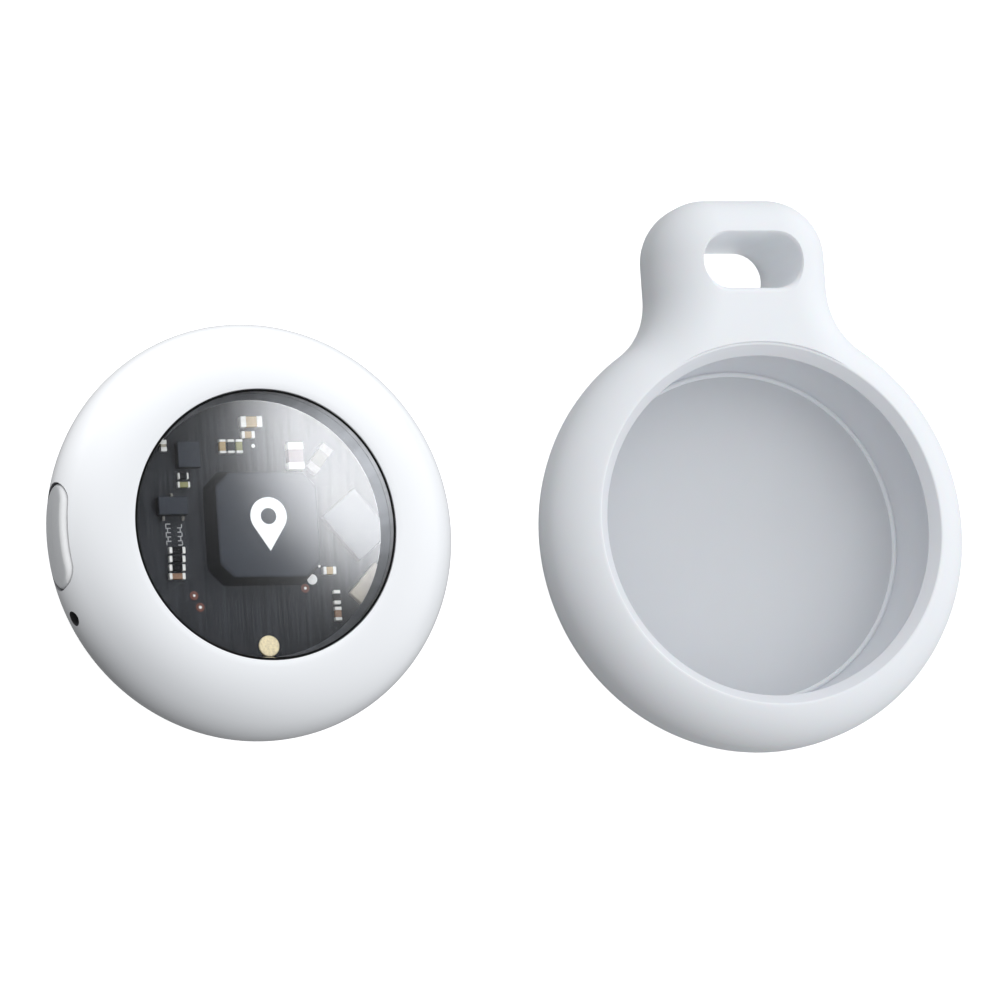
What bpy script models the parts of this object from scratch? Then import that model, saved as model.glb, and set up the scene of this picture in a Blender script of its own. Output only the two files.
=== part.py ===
"""A round tracker tag and its silicone loop holder, lying side by side on a flat surface.

The tag is on the left, face up, and the holder on the right with its mouth up and its loop towards +Y.
The origin is under the middle of the pair, and +Z is up. Sizes are in metres; MM turns millimetres into
metres. Each sub-part is one object, and each is built in its own frame and then placed.
"""

import math

import bmesh
import bpy
from mathutils import Matrix, Vector

MM = 0.001
GAP = 0.05 * MM  # the smallest clearance between two neighbouring pieces
PAST = 1.0 * MM  # how far a cutter runs past what it cuts
MERGE = 1e-7

# The tag's outer form: a disc with a rounded rim, flatter above its widest height than below it.
TAG_R = 16.0 * MM
TAG_THICK = 8.0 * MM
RIM_Z = 4.2 * MM
TOP_RIM_R = 11.0 * MM
FOOT_R = 12.6 * MM
WALL = 1.2 * MM
SEAM_Z = 2.1 * MM
SEAM_GAP = 0.1 * MM
EDGE_BREAK = 0.08 * MM

# The window in the tag's face, and the ring under it.
WINDOW_R = 10.4 * MM
LENS_R = 10.1 * MM
LENS_BOTTOM = 7.1 * MM
LENS_TOP = 7.95 * MM
BEZEL_FOOT_R = 9.86 * MM
BEZEL_FOOT_Z = 5.8 * MM
BEZEL_OUTER_R = 12.4 * MM

# The board and the battery under it.
BOARD_R = 12.4 * MM
BOARD_BOTTOM = 4.2 * MM
BOARD_TOP = 4.8 * MM
CELL_R = 10.0 * MM
CELL_BOTTOM = 0.75 * MM
CELL_TOP = 3.95 * MM
CARRIER_R = (10.35 * MM, 10.75 * MM)

# The twist-off battery cover: its lugs sit over a ledge in the rear shell until the cover is turned.
COVER_R = 10.5 * MM
COVER_Z = (0.05 * MM, 0.65 * MM)
COVER_BORE_R = 10.95 * MM
COVER_TURN = math.radians(30)
LEDGE_R = 11.7 * MM
LEDGE_TOP = 0.65 * MM
LUG_COUNT = 3
LUG_R = 11.5 * MM
LUG_POST_R = 10.12 * MM
LUG_HALF_ANGLE = math.radians(8)
NOTCH_HALF_ANGLE = math.radians(11)

# The side button on the tag's -X side, with the soft pad, the plunger and the switch behind it.
BUTTON_LENGTH = 8.3 * MM
BUTTON_HEIGHT = 3.6 * MM
BUTTON_Y = -0.2 * MM
BUTTON_Z = 4.45 * MM
BUTTON_CLEAR = 0.1 * MM
BUTTON_HOLE_BACK = -13.0 * MM
BUTTON_BACK = -13.6 * MM
FLANGE_BACK = -13.2 * MM
FLANGE_GROW = 0.9 * MM
FLANGE_HEIGHT = 2.0 * MM
PAD_BACK = -12.9 * MM
PLUNGER_TIP = -11.75 * MM
SWITCH_FRONT = -12.05 * MM
SWITCH_BACK = -10.95 * MM
SWITCH_Z = 3.4 * MM
PLUNGER_Z = SWITCH_Z + 0.25 * MM
PAD_Z = SWITCH_Z + 0.6 * MM

# The sound hole and the buzzer behind it, as angles round the tag.
SOUND_ANGLE = math.radians(204)
SOUND_Z = 4.5 * MM
SOUND_HOLE_R = 0.6 * MM
SOUND_MESH_R = 1.0 * MM
SOUND_MESH_BACK = 13.95 * MM
BUZZER_ANGLE = math.radians(212)
BUZZER_BACK = 10.9 * MM
BUZZER_Z = 3.2 * MM

# The holder: a round cup with a full-round edge and a loop tab with a slot through it.
HOLDER_R = 17.0 * MM
HOLDER_EDGE_R = 4.1 * MM
HOLDER_EDGE_FLAT = 0.65 * MM
HOLDER_THICK = 2 * (HOLDER_EDGE_R + HOLDER_EDGE_FLAT)
TAB_HALF_WIDTH = 7.1 * MM
TAB_REACH = 25.9 * MM
TAB_CORNER_R = 4.6 * MM
FLARE_R = 5.5 * MM
SLOT_LENGTH = 8.05 * MM
SLOT_HEIGHT = 4.3 * MM
SLOT_Y = 20.6 * MM
SLOT_LIP_R = 0.5 * MM
MOUTH_OUTER_R = 14.2 * MM
MOUTH_INNER_R = 13.1 * MM
MOUTH_DROP = 1.1 * MM
POCKET_R = 16.1 * MM
POCKET_FLOOR_R = 13.1 * MM
POCKET_FLOOR_Z = 2.2 * MM
POCKET_WIDEST_Z = 6.4 * MM

# Where the two stand: together they are centred on the origin.
PAIR_STEP_X = 40.6 * MM
PAIR_STEP_Y = -0.6 * MM
TAG_X = -(TAG_R + PAIR_STEP_X + HOLDER_R) / 2 + TAG_R
HOLDER_X = TAG_X + PAIR_STEP_X
HOLDER_Y = (HOLDER_R - TAB_REACH) / 2
TAG_Y = HOLDER_Y - PAIR_STEP_Y

FINE_STEPS = 64
STEPS = 48

COLOURS = {
    "white_gloss": ((0.88, 0.89, 0.91), 0.18, 0.0),
    "smoked_window": ((0.09, 0.10, 0.11), 0.05, 0.0),
    "black_rubber": ((0.015, 0.015, 0.016), 0.6, 0.0),
    "grey_plastic": ((0.25, 0.26, 0.28), 0.5, 0.0),
    "board_black": ((0.03, 0.032, 0.036), 0.45, 0.0),
    "chip_black": ((0.07, 0.075, 0.085), 0.5, 0.0),
    "capacitor_tan": ((0.42, 0.31, 0.17), 0.5, 0.0),
    "resistor_black": ((0.01, 0.01, 0.012), 0.4, 0.0),
    "ceramic_beige": ((0.62, 0.55, 0.44), 0.5, 0.0),
    "gold": ((0.83, 0.68, 0.42), 0.35, 1.0),
    "steel": ((0.62, 0.63, 0.64), 0.3, 1.0),
    "soft_silicone": ((0.84, 0.86, 0.88), 0.6, 0.0),
    "grey_silicone": ((0.30, 0.31, 0.33), 0.7, 0.0),
}


def clear_scene():
    for item in list(bpy.data.objects):
        bpy.data.objects.remove(item, do_unlink=True)


def new_collection(name):
    collection = bpy.data.collections.new(name)
    bpy.context.scene.collection.children.link(collection)
    return collection


def make_material(name):
    colour, roughness, metallic = COLOURS[name]
    material = bpy.data.materials.new(name)
    material.use_nodes = True
    shader = material.node_tree.nodes["Principled BSDF"]
    shader.inputs["Base Color"].default_value = (*colour, 1.0)
    shader.inputs["Roughness"].default_value = roughness
    shader.inputs["Metallic"].default_value = metallic
    material.diffuse_color = (*colour, 1.0)
    return material


clear_scene()
PIECES = new_collection("tracker_tag")
CUTTERS = new_collection("cutters")
MATERIALS = {name: make_material(name) for name in COLOURS}


def empty(name, location):
    item = bpy.data.objects.new(name, None)
    item.location = location
    item.empty_display_size = 5 * MM
    PIECES.objects.link(item)
    return item


TAG = empty("tag_place", (TAG_X, TAG_Y, 0.0))
HOLDER = empty("holder_place", (HOLDER_X, HOLDER_Y, 0.0))


# ---------------------------------------------------------------- shared modelling helpers


def finish(item, material, parent, smooth=math.radians(35)):
    """Give a finished piece its material, its parent and its shading."""
    item.data.materials.append(MATERIALS[material])
    item.data.shade_smooth()
    item.data.set_sharp_from_angle(angle=smooth)
    item.parent = parent
    return item


def object_from(mesh_maker, name, collection=PIECES):
    """Make an object whose mesh mesh_maker fills, as a bmesh."""
    mesh = bpy.data.meshes.new(name)
    cage = bmesh.new()
    mesh_maker(cage)
    cage.to_mesh(mesh)
    cage.free()
    item = bpy.data.objects.new(name, mesh)
    collection.objects.link(item)
    return item


def arc(centre, radii, start, end, steps):
    """Points along an ellipse's arc, angles in degrees, both ends included."""
    angles = [math.radians(start + (end - start) * i / steps) for i in range(steps + 1)]
    return [(centre[0] + radii[0] * math.cos(a), centre[1] + radii[1] * math.sin(a)) for a in angles]


def turned(name, profile, steps=STEPS, collection=PIECES):
    """Turn a closed (r, z) profile round Z; the profile runs down its outer side."""

    def fill(cage):
        corners = [cage.verts.new((r, 0.0, z)) for r, z in profile]
        for first, second in zip(corners, corners[1:] + corners[:1]):
            cage.edges.new((first, second))

    item = object_from(fill, name, collection)
    screw = item.modifiers.new("turn", "SCREW")
    screw.steps = steps
    screw.render_steps = steps
    screw.use_merge_vertices = True
    screw.merge_threshold = MERGE
    screw.use_smooth_shade = True
    return item


def disc(name, radius, bottom, top, steps=STEPS, edge=0.0, collection=PIECES):
    """A round plate with lightly broken edges."""

    def fill(cage):
        middle = Matrix.Translation((0.0, 0.0, (bottom + top) / 2))
        bmesh.ops.create_cone(
            cage,
            cap_ends=True,
            segments=steps,
            radius1=radius,
            radius2=radius,
            depth=top - bottom,
            matrix=middle,
        )

    item = object_from(fill, name, collection)
    if edge:
        soften(item, edge)
    return item


def soften(item, width, segments=1):
    bevel = item.modifiers.new("soft_edges", "BEVEL")
    bevel.width = width
    bevel.segments = segments
    bevel.limit_method = "ANGLE"
    bevel.angle_limit = math.radians(40)


def block(name, size, centre, angle=0.0, edge=0.0, collection=PIECES):
    """A box with broken edges, turned about Z by angle."""

    def fill(cage):
        bmesh.ops.create_cube(cage, size=1.0, matrix=Matrix.Diagonal((*size, 1.0)))

    item = object_from(fill, name, collection)
    item.location = centre
    item.rotation_euler = (0.0, 0.0, angle)
    if edge:
        soften(item, edge)
    return item


def prism(name, outline, bottom, top, collection=PIECES):
    """Extrude a flat outline along Z."""

    def fill(cage):
        base = cage.faces.new([cage.verts.new((x, y, bottom)) for x, y in outline])
        grown = bmesh.ops.extrude_face_region(cage, geom=[base])
        lifted = [part for part in grown["geom"] if isinstance(part, bmesh.types.BMVert)]
        bmesh.ops.translate(cage, verts=lifted, vec=(0.0, 0.0, top - bottom))
        bmesh.ops.recalc_face_normals(cage, faces=cage.faces)

    return object_from(fill, name, collection)


def loft(name, rings, collection=PIECES):
    """Join equal rings of points by faces and cap both ends."""

    def fill(cage):
        levels = [[cage.verts.new(point) for point in ring] for ring in rings]
        count = len(levels[0])
        for lower, upper in zip(levels, levels[1:]):
            for i in range(count):
                j = (i + 1) % count
                cage.faces.new((lower[i], lower[j], upper[j], upper[i]))
        cage.faces.new(list(reversed(levels[0])))
        cage.faces.new(levels[-1])
        bmesh.ops.recalc_face_normals(cage, faces=cage.faces)

    return object_from(fill, name, collection)


def stadium(length, height, steps=8):
    """A round-ended slot outline, counter-clockwise."""
    radius = height / 2
    reach = length / 2 - radius
    right = arc((reach, 0.0), (radius, radius), -90, 90, steps)
    left = arc((-reach, 0.0), (radius, radius), 90, 270, steps)
    return right + left


def cut(item, cutter, operation="DIFFERENCE"):
    """Cut or join with another object, which is then hidden from the model."""
    boolean = item.modifiers.new(cutter.name, "BOOLEAN")
    boolean.object = cutter
    boolean.operation = operation
    boolean.solver = "EXACT"
    cutter.hide_render = True
    cutter.display_type = "WIRE"
    return item


def behind_button(item, centre_z):
    """Turn a piece extruded along Z so that it runs along +X, with its length along Y at the button."""
    turn = Matrix(((0, 0, 1, 0), (1, 0, 0, 0), (0, 1, 0, 0), (0, 0, 0, 1)))
    item.matrix_basis = Matrix.Translation((0.0, BUTTON_Y, centre_z)) @ turn
    return item


def polar(radius, angle, z):
    return Vector((radius * math.cos(angle), radius * math.sin(angle), z))


# ---------------------------------------------------------------- the tag's shells


def rim_above(inset=0.0, start=90, end=0, steps=6):
    """The rim's curve over the widest height, inset by a wall."""
    radii = (TAG_R - TOP_RIM_R - inset, TAG_THICK - RIM_Z - inset)
    return arc((TOP_RIM_R, RIM_Z), radii, start, end, steps)


def rim_below(inset=0.0, start=0, end=-90, steps=6):
    """The rim's curve under the widest height, inset by a wall."""
    radii = (TAG_R - FOOT_R - inset, RIM_Z - inset)
    return arc((FOOT_R, RIM_Z), radii, start, end, steps)


def rim_angle_at(z, inset=0.0):
    """The angle, in degrees, at which rim_below passes height z."""
    return -math.degrees(math.asin((RIM_Z - z) / (RIM_Z - inset)))


def front_housing():
    seam = SEAM_Z + SEAM_GAP / 2
    outer = rim_above() + rim_below(end=rim_angle_at(seam), steps=2)[1:]
    inner = rim_below(WALL, rim_angle_at(seam, WALL), 0, 3) + rim_above(WALL, 0, 82, 4)[1:]
    rebate_r = (outer[-1][0] + inner[0][0]) / 2
    rebate_z = seam + 0.4 * MM
    rebate = [(rebate_r, seam), (rebate_r, rebate_z), (inner[1][0], rebate_z)]
    bore = [
        (WINDOW_R, TAG_THICK - WALL),
        (WINDOW_R, TAG_THICK - EDGE_BREAK),
        (WINDOW_R + EDGE_BREAK, TAG_THICK),
    ]
    shell = turned("front_housing", outer + rebate + inner[2:] + bore, FINE_STEPS)
    outline = stadium(BUTTON_LENGTH, BUTTON_HEIGHT)
    hole = prism("button_hole", outline, -TAG_R - PAST, BUTTON_HOLE_BACK, CUTTERS)
    cut(shell, behind_button(hole, BUTTON_Z))
    hole.parent = TAG
    cut(shell, sound_hole())
    return finish(shell, "white_gloss", TAG)


def sound_hole():
    """A round cutter through the wall, along the tag's radius."""
    hole = disc("sound_hole", SOUND_HOLE_R, 0.0, WALL + 2 * PAST, 16, collection=CUTTERS)
    hole.location = polar(TAG_R - WALL - PAST, SOUND_ANGLE, SOUND_Z)
    hole.rotation_euler = (0.0, math.pi / 2, SOUND_ANGLE)
    hole.parent = TAG
    return hole


def rear_housing():
    seam = SEAM_Z - SEAM_GAP / 2
    outer = rim_below(start=rim_angle_at(seam), steps=4)
    inner = rim_below(WALL, -75, rim_angle_at(seam, WALL), 3)
    tongue_r = (outer[0][0] + inner[-1][0]) / 2 - 0.1 * MM
    tongue_z = SEAM_Z + 0.3 * MM
    tongue = [(inner[-1][0], tongue_z), (tongue_r, tongue_z), (tongue_r, seam)]
    ledge = [(COVER_BORE_R, 0.0), (COVER_BORE_R, LEDGE_TOP), (LEDGE_R, LEDGE_TOP), (LEDGE_R, inner[0][1])]
    shell = turned("rear_housing", outer + ledge + inner + tongue, FINE_STEPS)
    for index in range(LUG_COUNT):
        cut(shell, lug_notch(index))
    return finish(shell, "white_gloss", TAG)


def lug_angle(index):
    return math.radians(90) + index * math.tau / LUG_COUNT


def ring_sector(inner_r, outer_r, middle, half_angle, steps=4):
    """The flat outline of a part of a ring."""
    first = math.degrees(middle - half_angle)
    last = math.degrees(middle + half_angle)
    outer = arc((0.0, 0.0), (outer_r, outer_r), first, last, steps)
    inner = arc((0.0, 0.0), (inner_r, inner_r), last, first, steps)
    return outer + inner


def lug_notch(index):
    """The gap in the ledge that lets one lug of the open cover drop out."""
    inner_r = COVER_BORE_R - 0.3 * MM
    middle = lug_angle(index) + COVER_TURN
    outline = ring_sector(inner_r, LEDGE_R - GAP, middle, NOTCH_HALF_ANGLE)
    notch = prism(f"lug_notch_{index}", outline, -PAST, LEDGE_TOP + 0.3 * MM, CUTTERS)
    notch.parent = TAG
    return notch


def window_lens():
    lens = disc("window_lens", LENS_R, LENS_BOTTOM, LENS_TOP, FINE_STEPS, 0.1 * MM)
    return finish(lens, "smoked_window", TAG)


def lens_gasket():
    outer = WINDOW_R - GAP
    inner = LENS_R + GAP
    profile = [(inner, LENS_TOP), (outer, LENS_TOP), (outer, LENS_BOTTOM), (inner, LENS_BOTTOM)]
    return finish(turned("lens_gasket", profile, FINE_STEPS), "black_rubber", TAG)


def inner_bezel():
    """The sloping ring between window and board, with a flange and a skirt that stands on the board."""
    neck_r = WINDOW_R - GAP
    flange_top = 6.5 * MM
    flange_bottom = flange_top - 0.4 * MM
    skirt_r = BEZEL_OUTER_R - 0.5 * MM
    profile = [
        (LENS_R, LENS_BOTTOM - GAP),
        (neck_r, LENS_BOTTOM - GAP),
        (neck_r, flange_top),
        (BEZEL_OUTER_R, flange_top),
        (BEZEL_OUTER_R, BOARD_TOP + GAP),
        (skirt_r, BOARD_TOP + GAP),
        (skirt_r, flange_bottom),
        (neck_r, flange_bottom),
        (BEZEL_FOOT_R + 0.15 * MM, BEZEL_FOOT_Z),
        (BEZEL_FOOT_R, BEZEL_FOOT_Z),
    ]
    return finish(turned("inner_bezel", profile, FINE_STEPS), "grey_plastic", TAG)


# ---------------------------------------------------------------- the board and what is on it


def circuit_board():
    """A round board with two half-round notches in its edge."""
    notch_r = 0.8 * MM
    board = disc("circuit_board", BOARD_R, BOARD_BOTTOM, BOARD_TOP, FINE_STEPS)
    for index, angle in enumerate((math.radians(60), math.radians(300))):
        low = BOARD_BOTTOM - PAST
        high = BOARD_TOP + PAST
        notch = disc(f"board_notch_{index}", notch_r, low, high, 12, collection=CUTTERS)
        notch.location = polar(BOARD_R + notch_r / 3, angle, 0.0)
        notch.parent = TAG
        cut(board, notch)
    return finish(board, "board_black", TAG)


def on_board(name, size, place, material, angle=0.0, edge=0.05 * MM):
    """A block standing on the board; place is its (x, y) from the tag's middle."""
    centre = (*place, BOARD_TOP + GAP + size[2] / 2)
    return finish(block(name, size, centre, angle, edge), material, TAG)


def processor_shield():
    """A tall square can with cut corners and slightly sloping sides."""
    half = 4.05 * MM
    corner = 1.1 * MM
    flare = 0.3 * MM
    soft = 0.18 * MM
    bottom = BOARD_TOP + GAP
    top = 6.95 * MM

    def ring(grow, z):
        reach = half + grow
        side = half - corner + grow * 0.6
        corners = [(side, -reach), (reach, -side), (reach, side), (side, reach)]
        return [(x, y, z) for x, y in corners + [(-x, -y) for x, y in corners]]

    levels = [
        ring(flare, bottom),
        ring(soft / 4, top - soft),
        ring(-soft / 4, top - soft / 3),
        ring(-soft, top),
    ]
    can = loft("processor_shield", levels)
    can.location = (0.5 * MM, 0.15 * MM, 0.0)
    return finish(can, "chip_black", TAG, math.radians(25))


def regulator():
    """A small three-lead package: one lead above, two below, all one piece with the body."""
    place = Vector((-6.55 * MM, 1.87 * MM, 0.0))
    base = BOARD_TOP + GAP
    standoff = 0.1 * MM
    body_size = (2.35 * MM, 1.4 * MM, 0.8 * MM)
    lead_size = (0.34 * MM, 0.6 * MM, 0.26 * MM)
    body_centre = place + Vector((0, 0, base + standoff + body_size[2] / 2))
    body = block("regulator", body_size, body_centre, edge=EDGE_BREAK)
    lead_places = ((0.15 * MM, 0.9 * MM), (-0.6 * MM, -0.85 * MM), (0.95 * MM, -0.85 * MM))
    for index, (x, y) in enumerate(lead_places):
        centre = place + Vector((x, y, base + lead_size[2] / 2))
        lead = block(f"regulator_lead_{index}", lead_size, centre, collection=CUTTERS)
        lead.parent = TAG
        cut(body, lead, "UNION")
    return finish(body, "chip_black", TAG)


def small_parts():
    """The two-terminal parts. A size is (length along its own axis, width, height)."""
    upright = math.radians(90)
    slant = math.radians(51)
    size_0402 = (1.08 * MM, 0.54 * MM, 0.40 * MM)
    size_0603 = (1.75 * MM, 0.85 * MM, 0.60 * MM)
    size_0805 = (2.05 * MM, 1.25 * MM, 0.75 * MM)
    size_thin = (1.30 * MM, 0.50 * MM, 0.35 * MM)
    size_slanted = (2.4 * MM, 1.0 * MM, 0.7 * MM)
    size_edge = (0.9 * MM, 0.5 * MM, 0.4 * MM)
    trio_pitch = 0.67 * MM
    stack_pitch = 0.665 * MM
    stack_lean = 0.04 * MM

    on_board("capacitor_bulk", size_0603, (0.2 * MM, 8.3 * MM), "capacitor_tan")
    on_board("capacitor_below_bulk", size_0402, (-0.05 * MM, 7.33 * MM), "capacitor_tan")

    trio = ("capacitor_trio_left", "resistor_trio", "capacitor_trio_right")
    for index, name in enumerate(trio):
        material = "resistor_black" if name.startswith("resistor") else "capacitor_tan"
        on_board(name, size_0402, (-2.15 * MM + trio_pitch * index, 6.45 * MM), material, upright)

    size_slim = (0.85 * MM, 0.48 * MM, 0.35 * MM)
    size_flat = (1.0 * MM, 0.46 * MM, 0.35 * MM)
    on_board("resistor_by_chip", size_slim, (-5.43 * MM, 4.22 * MM), "resistor_black")
    on_board("capacitor_by_chip", size_flat, (-5.42 * MM, 3.55 * MM), "capacitor_tan")

    stack = [(f"resistor_stack_{index}", "resistor_black") for index in range(3)]
    stack.append(("capacitor_stack", "capacitor_tan"))
    for index, (name, material) in enumerate(stack):
        place = (-6.27 * MM - stack_lean * index, -1.46 * MM - stack_pitch * index)
        on_board(name, size_thin, place, material)

    size_wide = (1.05 * MM, 0.6 * MM, 0.4 * MM)
    on_board("capacitor_by_shield", size_wide, (5.78 * MM, -3.17 * MM), "capacitor_tan")
    on_board("resistor_column", size_0402, (6.24 * MM, -5.22 * MM), "resistor_black", upright)
    on_board("capacitor_column", size_0402, (6.26 * MM, -6.5 * MM), "capacitor_tan", upright)
    on_board("capacitor_tall", size_0805, (3.55 * MM, 5.62 * MM), "capacitor_tan", upright)
    on_board("capacitor_slanted", size_slanted, (5.45 * MM, 5.4 * MM), "ceramic_beige", slant)
    on_board("capacitor_edge", size_edge, (-6.85 * MM, 6.55 * MM), "capacitor_tan", upright)


def chips():
    power_size = (1.8 * MM, 2.0 * MM, 0.8 * MM)
    sensor_size = (4.4 * MM, 3.4 * MM, 0.75 * MM)
    antenna_size = (3.2 * MM, 1.24 * MM, 0.55 * MM)
    sensor_angle = math.radians(-51)
    antenna_angle = math.radians(46.8)
    on_board("power_chip", power_size, (-5.0 * MM, 5.8 * MM), "chip_black")
    on_board("motion_sensor", sensor_size, (8.1 * MM, 0.3 * MM), "chip_black", sensor_angle, 0.1 * MM)
    on_board("chip_antenna", antenna_size, (8.78 * MM, -4.2 * MM), "ceramic_beige", antenna_angle)


def gold_contact():
    """The round spring contact near the board's edge."""
    radius = 0.82 * MM
    bottom = BOARD_TOP + GAP
    contact = disc("gold_contact", radius, bottom, bottom + 0.12 * MM, 32, 0.03 * MM)
    contact.location = (0.64 * MM, -8.86 * MM, 0.0)
    return finish(contact, "gold", TAG)


# ---------------------------------------------------------------- the battery, its contacts and its cover


def coin_cell():
    """A flat can with a smaller, rounded negative cap on top."""
    lip_z = CELL_TOP - 0.35 * MM
    profile = [
        (0.0, CELL_TOP),
        (8.4 * MM, CELL_TOP),
        (8.8 * MM, lip_z + 0.05 * MM),
        (9.3 * MM, lip_z + 0.15 * MM),
        (CELL_R - 0.15 * MM, lip_z + 0.1 * MM),
        (CELL_R, lip_z - 0.1 * MM),
        (CELL_R, CELL_BOTTOM + 0.25 * MM),
        (CELL_R - 0.25 * MM, CELL_BOTTOM),
        (0.0, CELL_BOTTOM),
    ]
    return finish(turned("coin_cell", profile), "steel", TAG)


def battery_carrier():
    inner, outer = CARRIER_R
    top = BOARD_BOTTOM - GAP
    bottom = 1.45 * MM
    profile = [(inner, top), (outer, top), (outer, bottom), (inner, bottom)]
    return finish(turned("battery_carrier", profile), "grey_plastic", TAG)


def negative_contact():
    """A thin three-armed leaf between the cell's cap and the board."""
    hub_r = 1.4 * MM
    tip_r = 6.0 * MM
    arm_half = 0.9 * MM
    outline = []
    for index in range(LUG_COUNT):
        middle = lug_angle(index) + math.radians(60)
        along = Vector((math.cos(middle), math.sin(middle)))
        across = Vector((-along.y, along.x))
        valley = Vector((math.cos(middle - math.pi / 3), math.sin(middle - math.pi / 3))) * hub_r
        outline += [valley, along * tip_r - across * arm_half, along * tip_r + across * arm_half]
    leaf = prism("negative_contact", outline, CELL_TOP + GAP, CELL_TOP + 0.17 * MM)
    return finish(leaf, "steel", TAG)


def positive_contact():
    """A curved leaf against the side of the cell."""
    inner = CELL_R + 0.08 * MM
    outline = ring_sector(inner, inner + 0.15 * MM, math.radians(20), math.radians(14), 8)
    leaf = prism("positive_contact", outline, 1.5 * MM, BOARD_BOTTOM - GAP)
    return finish(leaf, "steel", TAG)


def rear_cover(pivot):
    """The round cover with a coin slot below and three hooked lugs above."""
    cover = disc("rear_cover", COVER_R, *COVER_Z, FINE_STEPS, EDGE_BREAK)
    groove_outline = stadium(11 * MM, 1.6 * MM, 6)
    groove_depth = 0.28 * MM
    groove = prism("coin_groove", groove_outline, -PAST, COVER_Z[0] + groove_depth, CUTTERS)
    groove.parent = pivot
    cut(cover, groove)
    for index in range(LUG_COUNT):
        for part, inner, outer, half_angle, bottom, top in (
            ("post", LUG_POST_R, COVER_R - 0.1 * MM, LUG_HALF_ANGLE, COVER_Z[1] - 0.3 * MM, 1.3 * MM),
            ("hook", LUG_POST_R + 0.1 * MM, LUG_R, LUG_HALF_ANGLE * 0.9, 0.9 * MM, 1.25 * MM),
        ):
            outline = ring_sector(inner, outer, lug_angle(index), half_angle)
            lug = prism(f"lug_{part}_{index}", outline, bottom, top, CUTTERS)
            lug.parent = pivot
            cut(cover, lug, "UNION")
    return finish(cover, "white_gloss", pivot)


def cover_seal(pivot):
    """A thin ring with a rounded section round the cover's edge."""
    middle_r = (COVER_R + COVER_BORE_R) / 2
    half = (COVER_BORE_R - COVER_R) / 2 - GAP
    section = list(reversed(arc((middle_r, 0.36 * MM), (half, half), 0, 300, 5)))
    return finish(turned("cover_seal", section), "grey_silicone", pivot)


# ---------------------------------------------------------------- the button, the switch and the buzzer


def side_button(slide):
    """The cap follows the rim's curve outside and ends in a wider flange inside the wall."""
    outline = stadium(BUTTON_LENGTH - 2 * BUTTON_CLEAR, BUTTON_HEIGHT - 2 * BUTTON_CLEAR)
    cap = behind_button(prism("side_button", outline, -TAG_R - PAST, BUTTON_BACK), BUTTON_Z)
    tag_profile = rim_above() + rim_below()[1:] + [(0.0, 0.0), (0.0, TAG_THICK)]
    rim = turned("button_rim", tag_profile, FINE_STEPS, CUTTERS)
    rim.parent = slide
    cut(cap, rim, "INTERSECT")
    flange_outline = stadium(BUTTON_LENGTH + FLANGE_GROW, FLANGE_HEIGHT)
    flange = prism("button_flange", flange_outline, BUTTON_BACK - 0.1 * MM, FLANGE_BACK, CUTTERS)
    behind_button(flange, BUTTON_Z).parent = slide
    cut(cap, flange, "UNION")
    return finish(cap, "white_gloss", slide)


def button_pad(slide):
    outline = stadium(4.5 * MM, 1.2 * MM, 4)
    pad = behind_button(prism("button_pad", outline, FLANGE_BACK + GAP, PAD_BACK), PAD_Z)
    return finish(pad, "grey_silicone", slide)


def switch_plunger(slide):
    front = PAD_BACK + GAP
    size = (PLUNGER_TIP - front, 1.4 * MM, 0.5 * MM)
    centre = ((PLUNGER_TIP + front) / 2, BUTTON_Y, PLUNGER_Z)
    return finish(block("switch_plunger", size, centre, edge=0.05 * MM), "resistor_black", slide)


def tact_switch():
    size = (SWITCH_BACK - SWITCH_FRONT, 4.0 * MM, 1.5 * MM)
    centre = ((SWITCH_BACK + SWITCH_FRONT) / 2, BUTTON_Y, SWITCH_Z)
    body = block("tact_switch", size, centre, edge=EDGE_BREAK)
    mouth_size = (1.4 * MM, 1.6 * MM, 0.7 * MM)
    mouth = block("switch_mouth", mouth_size, (SWITCH_FRONT, BUTTON_Y, PLUNGER_Z), collection=CUTTERS)
    mouth.parent = TAG
    cut(body, mouth)
    return finish(body, "steel", TAG)


def buzzer():
    size = (2.3 * MM, 4.4 * MM, 1.8 * MM)
    place = polar(BUZZER_BACK + size[0] / 2, BUZZER_ANGLE, BUZZER_Z)
    return finish(block("buzzer", size, place, BUZZER_ANGLE, 0.15 * MM), "chip_black", TAG)


def sound_mesh():
    """The round mesh disc behind the sound hole."""
    mesh_disc = disc("sound_mesh", SOUND_MESH_R, 0.0, 0.15 * MM, 20)
    mesh_disc.location = polar(SOUND_MESH_BACK, SOUND_ANGLE, SOUND_Z)
    mesh_disc.rotation_euler = (0.0, math.pi / 2, SOUND_ANGLE)
    return finish(mesh_disc, "grey_plastic", TAG)


# ---------------------------------------------------------------- the holder


def holder_outline(inset):
    """The holder seen from above, inset by a distance; the point count never changes."""
    body_r = HOLDER_R - inset
    half = TAB_HALF_WIDTH - inset
    reach = TAB_REACH - inset
    corner = TAB_CORNER_R - inset
    flare = FLARE_R + inset
    flare_x = TAB_HALF_WIDTH + FLARE_R
    flare_y = math.sqrt((HOLDER_R + FLARE_R) ** 2 - flare_x**2)
    meet = math.degrees(math.atan2(flare_y, flare_x))
    points = arc((0.0, 0.0), (body_r, body_r), 180 - meet, 360 + meet, 40)
    points += arc((flare_x, flare_y), (flare, flare), 180 + meet, 180, 6)[1:]
    points += arc((half - corner, reach - corner), (corner, corner), 0, 90, 5)
    points += arc((corner - half, reach - corner), (corner, corner), 90, 180, 5)
    points += arc((-flare_x, flare_y), (flare, flare), 0, -meet, 6)[:-1]
    return points


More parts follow.
